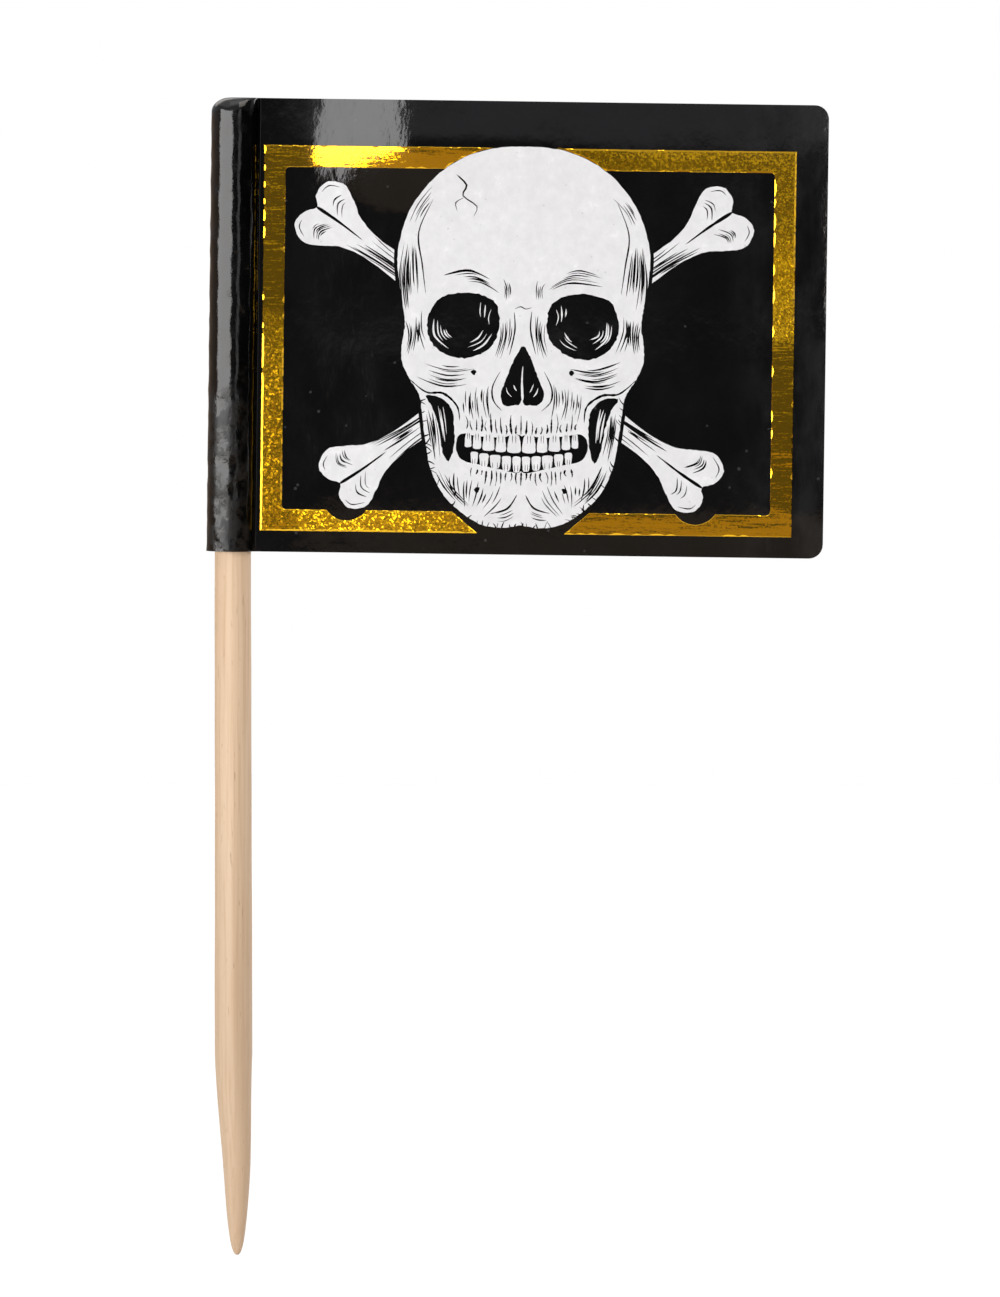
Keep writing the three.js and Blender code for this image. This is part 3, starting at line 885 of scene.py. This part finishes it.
wear = random.Random(23)
halves = []
for ring in loops_of(frame_triangles):
    line = resampled([frame_points[i] for i in ring], foil_step)
    line = [np.array(p) for p in wobble(line, rim_shake)]
    patches = len(line) // rim_patch + 2
    knots = [float(wear.random() < glitter_at(line[i * rim_patch % len(line)])) for i in range(patches)]
    slack = np.interp(np.arange(len(line)) / rim_patch, np.arange(patches), knots)
    depths = [rim_steep + rim_width * share * wear.uniform(1 - rim_uneven, 1 + rim_uneven)
              for share in slack]
    halves.append((line, inset(line, depths)))
halves.sort(key=lambda half: min(spot[0] for spot in half[0]))
print("foil pieces on a face:", len(halves), "with", [len(line) for line, _ in halves], "edge points")

# %% Build the foil
wrinkle_height = 0.0035
wrinkle_count = 9
wrinkle_waves = []
for _ in range(wrinkle_count):
    length, slant = wear.uniform(0.35, 1.6), wear.uniform(-0.35, 0.35)
    wrinkle_waves.append((2 * math.pi / length, slant, wear.uniform(0, 6.3)))


def wrinkle(flat):
    """Height of the foil's fine ripples, which run across the side bars."""
    x, y = flat.T
    total = sum(np.sin(pace * (y + slant * x) + phase) for pace, slant, phase in wrinkle_waves)
    return wrinkle_height * total / wrinkle_count


def foil_film(line, inner, side):
    """Points and faces of a film whose rim slopes down from the inner line to the outer one."""
    top, triangles = cut_out([(WHITE, inner)], foil_step)
    ring = max(loops_of(triangles), key=len)
    nearest = [ring[np.argmin(((top[ring] - spot) ** 2).sum(axis=1))] for spot in inner]
    count, ends = len(top), len(line)
    faces = (triangles + count).tolist() + triangles[:, ::-1].tolist()
    for i in range(ends):
        j = (i + 1) % ends
        foot_a, foot_b = 2 * count + i, 2 * count + j
        a, b = nearest[i], nearest[j]
        if a == b:
            faces += [[foot_a, foot_b, a + count], [foot_b, foot_a, a]]
        else:
            faces += [[foot_a, foot_b, b + count, a + count], [foot_b, foot_a, a, b]]
    flat = np.concatenate([top, top, np.array(line)])
    heights = np.concatenate([np.zeros(count), film_thickness + wrinkle(top), np.zeros(ends)])
    return on_leaf(flat, heights, side), faces


foils = []
foil_nodes = (
    ("frame_front_near_stick", "foil_front_near_stick", 0, -1),
    ("frame_front_free_end", "foil_front_free_end", 1, -1),
    ("frame_back_near_stick", "foil_back_near_stick", 1, 1),
    ("frame_back_free_end", "foil_back_free_end", 0, 1),
)
for name, node, half, side in foil_nodes:
    points, faces = foil_film(*halves[half], side)
    foils.append(make_piece(name, points, faces, node, sharp=8))

# %% [markdown]
# ## The stick
# Such sticks are split square, tumbled until their corners are round, and ground to a point.
# A cylinder would miss the soft ridge that faces the viewer, so each ring is a square whose
# corners are rounded by a power. The ring turns into a circle along the point. Tumbling and
# grinding leave the surface slightly uneven, which a few slow waves give.

# %% Build the stick
point_length = 11.5
point_fullness = 0.38
tip_half = 0.06
point_offset = 0.19
top_ease = 0.15
ring_count = 96
point_rings, ease_rings = 70, 6
shank_step = 0.8
uneven = 0.012
stick_waves = ((2, 0.31, 0), (3, -0.17, 2), (1, 0.9, 0))


def stick_ring(z):
    in_point = np.clip(z / point_length, 0, 1)
    width = max(tip_half, stick_half_width(z) * in_point**point_fullness)
    broken = np.clip(z - (stick_high.z - top_ease), 0, top_ease)
    width -= top_ease - math.sqrt(top_ease**2 - broken**2)
    power = 2 + (corner_power - 2) * in_point * in_point
    shift = point_offset * (1 - ease((z - point_length / 3) / (point_length * 2 / 3)))
    angle = np.linspace(0, 2 * math.pi, ring_count, endpoint=False)
    worn = uneven * width * unevenness(angle, z, stick_waves)
    radius = rounded_square(angle, width, power) - worn
    return np.column_stack([shift + radius * np.cos(angle), radius * np.sin(angle), np.full(ring_count, z)])


heights = [point_length * (i / point_rings) ** 2 for i in range(point_rings)]
heights += np.arange(point_length, stick_high.z - top_ease, shank_step).tolist()
ease_turns = np.linspace(0, math.pi / 2, ease_rings)
heights += [stick_high.z - top_ease * (1 - math.sin(t)) for t in ease_turns]
rings = np.array([stick_ring(z) for z in heights])
stick_index = np.arange(len(heights) * ring_count).reshape(len(heights), ring_count)
stick_faces = grid_faces(stick_index, closed=True)
stick_faces += [stick_index[0][::-1].tolist(), stick_index[-1].tolist()]
stick = make_piece("birch_stick", rings.reshape(-1, 3) * MM, stick_faces, "stick", sharp=50)

# %% [markdown]
# ## Building shaders in code
# Every material below is a small net of nodes. A few helpers keep that short: the main one adds
# a node with its settings and inputs, another starts a group with named sockets. What more than
# one finish needs, such as fine grain or dust, is such a group. It is built once, and each
# material places it with values of its own.

# %% Shader helpers
FLOAT = "NodeSocketFloat"


def plug(tree, socket, value):
    """Links another node's socket to this one, or sets a plain value on it."""
    if isinstance(value, bpy.types.NodeSocket):
        tree.links.new(value, socket)
    else:
        socket.default_value = value


def add(tree, kind, inputs=None, **settings):
    """A node with its settings, and inputs that are plain values or other nodes' sockets."""
    node = tree.nodes.new("ShaderNode" + kind)
    for key, value in settings.items():
        setattr(node, key, value)
    for key, value in (inputs or {}).items():
        plug(tree, node.inputs[key], value)
    return node


def sums(tree, operation, first, second):
    return add(tree, "Math", {0: first, 1: second}, operation=operation).outputs[0]


def times(tree, first, second):
    return sums(tree, "MULTIPLY", first, second)


def spread(tree, value, low, high, to_low=0.0, to_high=1.0):
    """The value's range from low to high, smoothly stretched to another."""
    inputs = {"Value": value, "From Min": low, "From Max": high, "To Min": to_low, "To Max": to_high}
    return add(tree, "MapRange", inputs, interpolation_type="SMOOTHSTEP").outputs[0]


def blend_colours(tree, share, first, second):
    """The first colour where the share is 0, the second where it is 1."""
    mix = add(tree, "Mix", {0: share}, data_type="RGBA")
    for key, value in ((6, first), (7, second)):
        is_socket = isinstance(value, bpy.types.NodeSocket)
        plug(tree, mix.inputs[key], value if is_socket else (*value, 1))
    return mix.outputs[2]


def place_on(tree):
    return add(tree, "TexCoord").outputs["Object"]


def coordinates(tree):
    """The X, Y and Z of a place on the piece, in metres."""
    return add(tree, "SeparateXYZ", {0: place_on(tree)}).outputs


def start_group(name, inputs, outputs):
    """A new group with float inputs and the outputs given as name: type, and its inner ends."""
    group = bpy.data.node_groups.new(name, "ShaderNodeTree")
    for label, default in inputs.items():
        socket = group.interface.new_socket(label, in_out="INPUT", socket_type=FLOAT)
        socket.default_value = default
    for label, kind in outputs.items():
        group.interface.new_socket(label, in_out="OUTPUT", socket_type=kind)
    given, out = (group.nodes.new(kind) for kind in ("NodeGroupInput", "NodeGroupOutput"))
    return group, given.outputs, out.inputs


def use(tree, group, **values):
    """A shared effect placed in a material. Its inputs go by name, with _ for a space."""
    node = add(tree, "Group", node_tree=group)
    for label, value in values.items():
        plug(tree, node.inputs[label.replace("_", " ")], value)
    return node.outputs


# %% Grain and dust
def grain_group():
    """Noise that is stretched along one or more axes, as fibres, streaks or specks."""
    inputs = {"Across": 1.0, "Depth": 1.0, "Up": 1.0, "Roughness": 0.5}
    group, given, out = start_group("Grain", inputs, {"Fac": FLOAT})
    scale = add(group, "CombineXYZ", {0: given["Across"], 1: given["Depth"], 2: given["Up"]})
    stretched = add(group, "VectorMath", {0: place_on(group), 1: scale.outputs[0]}, operation="MULTIPLY")
    noise = add(group, "TexNoise", {"Vector": stretched.outputs[0], "Scale": 1 / MM, "Detail": 4.0,
                                    "Roughness": given["Roughness"]})
    group.links.new(noise.outputs["Fac"], out["Fac"])
    return group


def cells_per_mm(group, per_mm):
    """Small cells, each with a chance colour and the distance from its middle."""
    scale = times(group, per_mm, 1 / MM)
    return add(group, "TexVoronoi", {"Vector": place_on(group), "Scale": scale}).outputs


def dust_group():
    """Scattered small specks, as a mask."""
    soft_edge = 0.05
    group, given, out = start_group("Dust", {"Specks per mm": 1.0, "Size": 0.2}, {"Mask": FLOAT})
    cells = cells_per_mm(group, given["Specks per mm"])
    own_size = times(group, cells["Color"], given["Size"])
    inside = sums(group, "SUBTRACT", own_size, cells["Distance"])
    group.links.new(spread(group, inside, 0.0, soft_edge), out["Mask"])
    return group


# %% Flakes
def flakes_group():
    """Tiny facets that are each tilted their own way, as a normal."""
    inputs = {"Flakes per mm": 7.0, "Tilt": 0.1}
    group, given, out = start_group("Flakes", inputs, {"Normal": "NodeSocketVector"})
    colour = cells_per_mm(group, given["Flakes per mm"])["Color"]
    centred = add(group, "VectorMath", {0: colour, 1: (0.5, 0.5, 0.5)}, operation="SUBTRACT")
    lean = add(group, "VectorMath", {0: centred.outputs[0], "Scale": given["Tilt"]}, operation="SCALE")
    facing = add(group, "NewGeometry").outputs["Normal"]
    turned = add(group, "VectorMath", {0: facing, 1: lean.outputs[0]}, operation="ADD")
    unit = add(group, "VectorMath", {0: turned.outputs[0]}, operation="NORMALIZE")
    group.links.new(unit.outputs[0], out["Normal"])
    return group


GRAIN = grain_group()
DUST = dust_group()
FLAKES = flakes_group()


# %% Material helpers
def new_material(name, piece_list, **values):
    """A material on all the pieces, with values set on its Principled shader's own sockets."""
    material = bpy.data.materials.new(name)
    material.use_nodes = True
    tree = material.node_tree
    shader = tree.nodes["Principled BSDF"]
    for label, value in values.items():
        shader.inputs[label.replace("_", " ")].default_value = value
    for piece in piece_list:
        piece.data.materials.clear()
        piece.data.materials.append(material)
    return tree, shader


def feed(tree, shader, **sockets):
    for label, socket in sockets.items():
        tree.links.new(socket, shader.inputs[label.replace("_", " ")])


def bump(tree, height, distance, normal=None):
    """A bump of the distance given, in millimetres."""
    inputs = {"Height": height, "Distance": distance * MM, "Strength": 1.0}
    if normal is not None:
        inputs["Normal"] = normal
    return add(tree, "Bump", inputs).outputs[0]


# %% [markdown]
# ## Black gloss paper
# Coated label paper is almost black, and all that shows is what it mirrors. The coating isn't
# perfectly even: it follows the fibres below, so a reflection breaks up at its border. That
# is two bumps, a broad one and a fine one, and a roughness that drifts with the finger marks.
# Handling shows as well: a thin haze at the free end, and creases where the loop was gripped.

# %% Paper material
broad_relief, fibre_relief, crease_relief = 0.02, 0.009, 0.04
haze_from, haze_full = 0.8 * flag_reach, 0.95 * flag_reach
grip_from, grip_full = flag_middle - 2, flag_middle - 5

tree, shader = new_material("black gloss paper", [flag_sheet], IOR=1.5)
at = coordinates(tree)
broad = use(tree, GRAIN, Across=0.9, Depth=0.9, Up=0.55, Roughness=0.55)["Fac"]
fine = use(tree, GRAIN, Across=5.0, Depth=5.0, Up=4.0, Roughness=0.6)["Fac"]
smears = use(tree, GRAIN, Across=0.35, Depth=0.35, Up=0.22, Roughness=0.6)["Fac"]
veil = use(tree, GRAIN, Across=0.5, Depth=0.5, Up=0.22, Roughness=0.65)["Fac"]
creases = use(tree, GRAIN, Across=1.8, Depth=1.8, Up=1.1, Roughness=0.5)["Fac"]
specks = use(tree, DUST, Specks_per_mm=0.8, Size=0.11)["Mask"]

smeared = spread(tree, smears, 0.35, 0.7)
tint = blend_colours(tree, smeared, (0.0007, 0.0006, 0.0006), (0.0018, 0.0018, 0.002))
held_end = spread(tree, at["X"], haze_from * MM, haze_full * MM)
haze = times(tree, spread(tree, veil, 0.38, 0.7), held_end)
hazy = blend_colours(tree, haze, tint, (0.011, 0.011, 0.0115))
dusty = blend_colours(tree, specks, hazy, (0.03, 0.03, 0.033))

bent = spread(tree, at["X"], bend_end * MM, 0.0)
gripped = times(tree, bent, spread(tree, at["Z"], grip_from * MM, grip_full * MM))
stretched = times(tree, fine, spread(tree, bent, 0.0, 1.0, 0.2, 1.0))
creased = times(tree, creases, gripped)
relief = bump(tree, creased, crease_relief, bump(tree, broad, broad_relief))
relief = bump(tree, stretched, fibre_relief, relief)
scuffs = times(tree, gripped, spread(tree, creases, 0.42, 0.6, 0.0, 0.3))
gloss = sums(tree, "ADD", spread(tree, smears, 0.3, 0.75, 0.06, 0.1), scuffs)
feed(tree, shader, Base_Color=dusty, Roughness=gloss, Normal=relief)

# %% [markdown]
# ## White ink
# The print is opaque white with the same gloss over it. It is never one white: the ink is a
# little thinner in places and lets some of the dark paper through, and pinholes show as specks.

# %% Ink material
tree, shader = new_material("white ink", emblems, IOR=1.5)
cover = use(tree, GRAIN, Across=1.3, Depth=1.3, Up=1.3, Roughness=0.7)["Fac"]
fine = use(tree, GRAIN, Across=7.0, Depth=7.0, Up=7.0, Roughness=0.6)["Fac"]
pinholes = use(tree, DUST, Specks_per_mm=1.3, Size=0.12)["Mask"]
white = blend_colours(tree, spread(tree, cover, 0.3, 0.7), (0.69, 0.695, 0.72), (0.75, 0.755, 0.775))
spotted = blend_colours(tree, pinholes, white, (0.6, 0.6, 0.62))
gloss = spread(tree, cover, 0.3, 0.7, 0.16, 0.28)
feed(tree, shader, Base_Color=spotted, Roughness=gloss, Normal=bump(tree, fine, 0.004))

# %% [markdown]
# ## Gold foil
# Stamped foil is a lacquered metal a thousandth of a millimetre thick. Where the die pressed
# hard, it takes on every fibre of the paper, which breaks the mirror into grains of bright and
# dark gold. Where it pressed lightly, the foil stays a dark mirror with a few wrinkles across
# the bar. The die stood a little crooked, so the hard places lie on one diagonal of the frame:
# a product of the distances from the flag's middle, along and up, is positive just there. It
# pressed less beside the bend and near the top edge.

# %% Foil material
crooked = 0.07
hard_from, hard_full = -0.04, 0.06
rubbed_from, rubbed_full = 0.45, 1.45
bend_share = 0.35
bend_share_from, bend_share_to = frame_low[0] + frame_bar, frame_low[0] + 2.5 * frame_bar
body_share, top_share = 1.3, 0.5
top_share_from, top_share_to = flag_middle + 2, flag_middle + 6
wrinkle_relief = 0.022

tree, shader = new_material("gold foil", foils, Metallic=1.0, Coat_Weight=0.5, Coat_Roughness=0.12)
at = coordinates(tree)
pulls = use(tree, GRAIN, Across=0.3, Depth=0.3, Up=1.9, Roughness=0.5)["Fac"]
rubbed = use(tree, GRAIN, Across=0.3, Depth=0.3, Up=0.3, Roughness=0.6)["Fac"]

off_along = sums(tree, "SUBTRACT", at["X"], flag_reach / 2 * MM)
level = sums(tree, "SUBTRACT", at["Z"], flag_middle * MM)
off_up = sums(tree, "ADD", level, times(tree, off_along, crooked))
product = times(tree, off_along, off_up)
diagonal = times(tree, product, 1 / (frame_half * MM).prod())
hard_side = sums(tree, "ADD", spread(tree, diagonal, hard_from, hard_full), rubbed)
beside_bend = spread(tree, at["X"], bend_share_from * MM, bend_share_to * MM, bend_share, 1.0)
near_top = spread(tree, at["Z"], top_share_from * MM, top_share_to * MM, body_share, top_share)
pressed = times(tree, times(tree, beside_bend, near_top),
                spread(tree, hard_side, rubbed_from, rubbed_full))

gold = blend_colours(tree, pressed, (0.9, 0.49, 0.005), (0.93, 0.53, 0.01))
gloss = spread(tree, pressed, 0.0, 1.0, 0.07, 0.18)
tilt = spread(tree, pressed, 0.0, 1.0, 0.03, 0.15)
flakes = use(tree, FLAKES, Flakes_per_mm=10.5, Tilt=tilt)["Normal"]
pulled = times(tree, pulls, spread(tree, pressed, 1.0, 0.0, 0.3, 1.0))
relief = bump(tree, pulled, wrinkle_relief, flakes)
feed(tree, shader, Base_Color=gold, Roughness=gloss, Normal=relief)

# %% [markdown]
# ## Birch
# Birch is pale and close-grained. Its fibres are less than a fifth of a millimetre wide and run
# far along the stick, with short darker pores among them. Stretched noise gives both. The lower
# end is painted darker: partly painted shade, for the light that falls off lower down, and partly
# the wood's own tone.

# %% Wood material
tree, shader = new_material("birch", [stick])
fibre = use(tree, GRAIN, Across=5.5, Depth=5.5, Up=0.12, Roughness=0.6)["Fac"]
band = use(tree, GRAIN, Across=0.9, Depth=0.9, Up=0.05, Roughness=0.5)["Fac"]
pore = use(tree, GRAIN, Across=9.0, Depth=9.0, Up=0.9, Roughness=0.4)["Fac"]
pale = blend_colours(tree, spread(tree, band, 0.3, 0.7), (0.73, 0.54, 0.37), (0.66, 0.465, 0.305))
streaked = blend_colours(tree, spread(tree, fibre, 0.4, 0.75), pale, (0.6, 0.41, 0.255))
pored = blend_colours(tree, spread(tree, pore, 0.66, 0.74), streaked, (0.5, 0.32, 0.2))
# Painted shade in part: the colour darkens towards the point, standing in for the light that falls off
# lower down; the rest is the wood's own tone.
dark_from, dark_full = 34, 12
lower_shade_and_tone = spread(tree, coordinates(tree)["Z"], dark_from * MM, dark_full * MM, 0.0, 0.35)
wood = blend_colours(tree, lower_shade_and_tone, pored, (0.47, 0.33, 0.22))
gloss = spread(tree, fibre, 0.3, 0.7, 0.5, 0.66)
relief = bump(tree, pore, 0.006, bump(tree, fibre, 0.02))
feed(tree, shader, Base_Color=wood, Roughness=gloss, Normal=relief)

# %% [markdown]
# ## Glue
# Dried label glue is cloudy and slightly yellow, with small bubbles.

# %% Glue material
tree, shader = new_material("label glue", [glue_layer], IOR=1.47)
cloud = use(tree, GRAIN, Across=2.0, Depth=2.0, Up=2.0, Roughness=0.5)["Fac"]
bubbles = use(tree, DUST, Specks_per_mm=3.0, Size=0.3)["Mask"]
clear = blend_colours(tree, spread(tree, cloud, 0.3, 0.7), (0.3, 0.28, 0.23), (0.42, 0.39, 0.33))
feed(tree, shader, Base_Color=blend_colours(tree, bubbles, clear, (0.55, 0.53, 0.48)),
     Roughness=spread(tree, cloud, 0.3, 0.7, 0.3, 0.5), Normal=bump(tree, cloud, 0.01))

# %% [markdown]
# ## Camera
# The photograph was taken almost square on, from a little above. The camera stands far enough
# away that the flag shows hardly any perspective. The middle of the photograph and the width
# that it covers, both in the plane of the flag, fix where it aims and how long the lens is.

# %% Set the camera
photo_width, photo_height = 1000, 1297
photo_mm_per_pixel = 0.0568
stick_axis_pixel = 233
tip_pixel = 1257
camera_distance = 500
camera_elevation = math.radians(2.5)
sensor = 36

aim = np.array([
    (photo_width / 2 - stick_axis_pixel) * photo_mm_per_pixel,
    0,
    (tip_pixel - photo_height / 2) * photo_mm_per_pixel,
])
back = np.array([0, -math.cos(camera_elevation), math.sin(camera_elevation)])
camera_data = bpy.data.cameras.new("camera")
camera_data.sensor_width = sensor
camera_data.lens = sensor * camera_distance / (photo_height * photo_mm_per_pixel)
camera_data.clip_start = 0.01
camera_data.clip_end = 20
camera = bpy.data.objects.new("camera", camera_data)
camera.location = (aim + back * camera_distance) * MM
camera.rotation_euler = (math.pi / 2 - camera_elevation, 0, 0)
bpy.context.scene.collection.objects.link(camera)
bpy.context.scene.camera = camera
print(f"camera: {camera_data.lens:.0f} mm lens, aimed at {aim.round(2)} mm")

# %% [markdown]
# ## Light
# Gloss and foil are lit by what they mirror. A low softbox on the left gives the grey strip
# down the rolled spine and the bright patch on the leaf. Soft lamps above and on the right
# give the plain light for the wood and the ink. The same lamps stand behind, at half the power
# low down and at the side, so that the back can be seen and its light doesn't spill forward.

# %% Set the lamps
flag_centre = np.array([flag_reach / 2, 0, flag_middle]) * MM


def towards(azimuth, elevation):
    """The direction from the object, with azimuth 0 at the front and 90 on the right."""
    a, e = math.radians(azimuth), math.radians(elevation)
    return np.array([math.sin(a) * math.cos(e), -math.cos(a) * math.cos(e), math.sin(e)])


def softbox(name, azimuth, elevation, distance, width, height, radiance, colour=(1, 1, 1)):
    """A soft lamp of a plain brightness, which a mirror would show as radiance times white."""
    data = bpy.data.lights.new(name, "AREA")
    data.shape = "RECTANGLE"
    data.size = width
    data.size_y = height
    data.energy = 4 * radiance * width * height
    data.color = colour
    lamp = bpy.data.objects.new(name, data)
    lamp.location = flag_centre + towards(azimuth, elevation) * distance
    lamp.rotation_euler = (math.pi / 2 - math.radians(elevation), 0, math.radians(azimuth))
    lamp.visible_camera = False
    bpy.context.scene.collection.objects.link(lamp)


left_edge, right_edge = -77, -8
low_distance = 0.5
low_width = 2 * low_distance * math.tan(math.radians((right_edge - left_edge) / 2))
warm_white = (1.0, 0.92, 0.84)
back_share = 0.5
for label, half_turn, share in (("front", 0, 1.0), ("back", 180, back_share)):
    softbox(f"low_softbox_{label}", azimuth=(left_edge + right_edge) / 2 + half_turn, elevation=4,
            distance=low_distance, width=low_width, height=0.2, radiance=4.0 * share)
    softbox(f"high_softbox_{label}", azimuth=half_turn - 5, elevation=62,
            distance=0.6, width=0.5, height=0.4, radiance=0.62)
    softbox(f"side_softbox_{label}", azimuth=half_turn + 38, elevation=38,
            distance=0.6, width=0.4, height=0.4, radiance=2.2 * share, colour=warm_white)

# %% Set the surroundings
ambient_level = 0.14
floor_half = 0.45
floor_glow, floor_glow_share = 1.2, 0.75


def seen_rays(tree):
    """1 for a ray from the camera, a reflection or glass, which sees a surface as it looks, else 0."""
    paths = add(tree, "LightPath").outputs
    direct = sums(tree, "ADD", paths["Is Camera Ray"], paths["Is Glossy Ray"])
    inputs = {0: direct, 1: paths["Is Transmission Ray"]}
    return add(tree, "Math", inputs, operation="ADD", use_clamp=True).outputs[0]


def plane(name, points, faces):
    mesh = bpy.data.meshes.new(name)
    mesh.from_pydata(points, [], faces)
    piece = bpy.data.objects.new(name, mesh)
    bpy.context.scene.collection.objects.link(piece)
    piece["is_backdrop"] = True
    return piece


world = bpy.data.worlds.new("surroundings")
bpy.context.scene.world = world
world.use_nodes = True
tree = world.node_tree
ambient = add(tree, "Background", {"Color": (0.98, 0.98, 1.0, 1), "Strength": ambient_level})
white = add(tree, "Background", {"Color": (1, 1, 1, 1), "Strength": 1.0})
mix = add(tree, "MixShader", {0: seen_rays(tree), 1: ambient.outputs[0], 2: white.outputs[0]})
tree.links.new(mix.outputs[0], tree.nodes["World Output"].inputs[0])

signs = ((-1, -1), (1, -1), (1, 1), (-1, 1))
floor = plane("floor", [(x * floor_half, y * floor_half, 0) for x, y in signs], [(0, 1, 2, 3)])
tree, shader = new_material("pale floor", [floor], Roughness=0.8, Specular_IOR_Level=0.0)
shader.inputs["Base Color"].default_value = (0.9, 0.9, 0.9, 1)
mostly = times(tree, seen_rays(tree), floor_glow_share)
paper_white = add(tree, "Emission", {"Color": (1, 1, 1, 1), "Strength": floor_glow})
mix = add(tree, "MixShader", {0: mostly, 1: shader.outputs[0], 2: paper_white.outputs[0]})
tree.links.new(mix.outputs[0], tree.nodes["Material Output"].inputs[0])

# %% [markdown]
# ## What the gloss mirrors
# The flat leaf looks straight back at the camera. Against plain white surroundings it would
# turn grey all over, and the foil would lose its depth. So a round wall stands behind the lamps
# that reflections alone can see. It is brown on the left, dim in front, almost black on the
# right, and grey higher up. The black has one white band in it, which lights the foil's
# right-hand edges and draws a faint line down the spine. A warm ring on the floor stands for the
# table. A radial gradient tells the wall's shader which way a place on it lies.

# %% Build the wall and the ring
wall_radius = 0.62
wall_top = 0.45
wall_steps = 72
ring_hole = 0.1
ring_height = 0.0005


def swept(name, profile):
    """A ring round the flag with the profile given as (radius, height)."""
    points, rows = [], []
    for radius, height in profile:
        rows.append(np.arange(wall_steps) + len(points))
        for azimuth in np.arange(wall_steps) * 360 / wall_steps:
            points.append((*(towards(azimuth, 0) * radius)[:2], height))
    piece = plane(name, points, grid_faces(np.array(rows), closed=True))
    piece.location.x = flag_centre[0]
    piece.visible_camera = False
    piece.visible_diffuse = False
    piece.visible_transmission = False
    piece.visible_shadow = False
    return piece


wall = swept("wall", [(wall_radius, 0), (wall_radius, wall_top)])
ring = swept("table_ring", [(ring_hole, ring_height), (wall_radius, ring_height)])


def glow(tree, colour):
    light = add(tree, "Emission", {"Color": colour, "Strength": 1.0})
    tree.links.new(light.outputs[0], tree.nodes["Material Output"].inputs[0])


# %% Shade the wall and the ring
BROWN, DIM, DARK = (0.34, 0.25, 0.19), (0.1, 0.1, 0.105), (0.015, 0.015, 0.015)
PALE = (1.0, 1.0, 1.0)
shade_stops = (
    (-90, BROWN), (-9, BROWN), (-5, DIM), (6, DIM), (14, DARK), (19, DARK), (20, PALE), (31, PALE),
    (32, DARK), (85, DARK), (172, DIM), (188, DIM), (200, BROWN), (270, BROWN),
)
wall_dark_to, wall_light_from = 0.075, 0.12
right_in, right_out = (0.3, 0.36), (0.5, 0.45)

tree, shader = new_material("wall", [wall])
around = add(tree, "TexGradient", {"Vector": place_on(tree)}, gradient_type="RADIAL").outputs["Fac"]
shades = add(tree, "ValToRGB", {"Fac": around})
stops = shades.color_ramp.elements
while len(stops) < len(shade_stops):
    stops.new(0.5)
for stop, (azimuth, shade) in zip(stops, shade_stops):
    stop.position = (azimuth + 90) / 360
    stop.color = (*shade, 1)
high = spread(tree, coordinates(tree)["Z"], wall_dark_to, wall_light_from)
turned_right = times(tree, spread(tree, around, *right_in), spread(tree, around, *right_out))
above = blend_colours(tree, turned_right, (0.44, 0.44, 0.47), (0.1, 0.1, 0.1))
glow(tree, blend_colours(tree, high, shades.outputs["Color"], above))

tree, shader = new_material("table ring", [ring])
patchy = add(tree, "TexNoise", {"Vector": place_on(tree), "Scale": 6.0}).outputs["Fac"]
glow(tree, blend_colours(tree, spread(tree, patchy, 0.3, 0.7), (0.42, 0.34, 0.27), (0.32, 0.25, 0.2)))

# %% Set how the picture is shown, and write down the size
bpy.context.scene.view_settings.view_transform = "Standard"
visual_box = [list(corner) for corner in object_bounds()]
for name, box in (("model", cad_box), ("dressed", visual_box)):
    print(name, [[round(value / MM, 3) for value in corner] for corner in box])
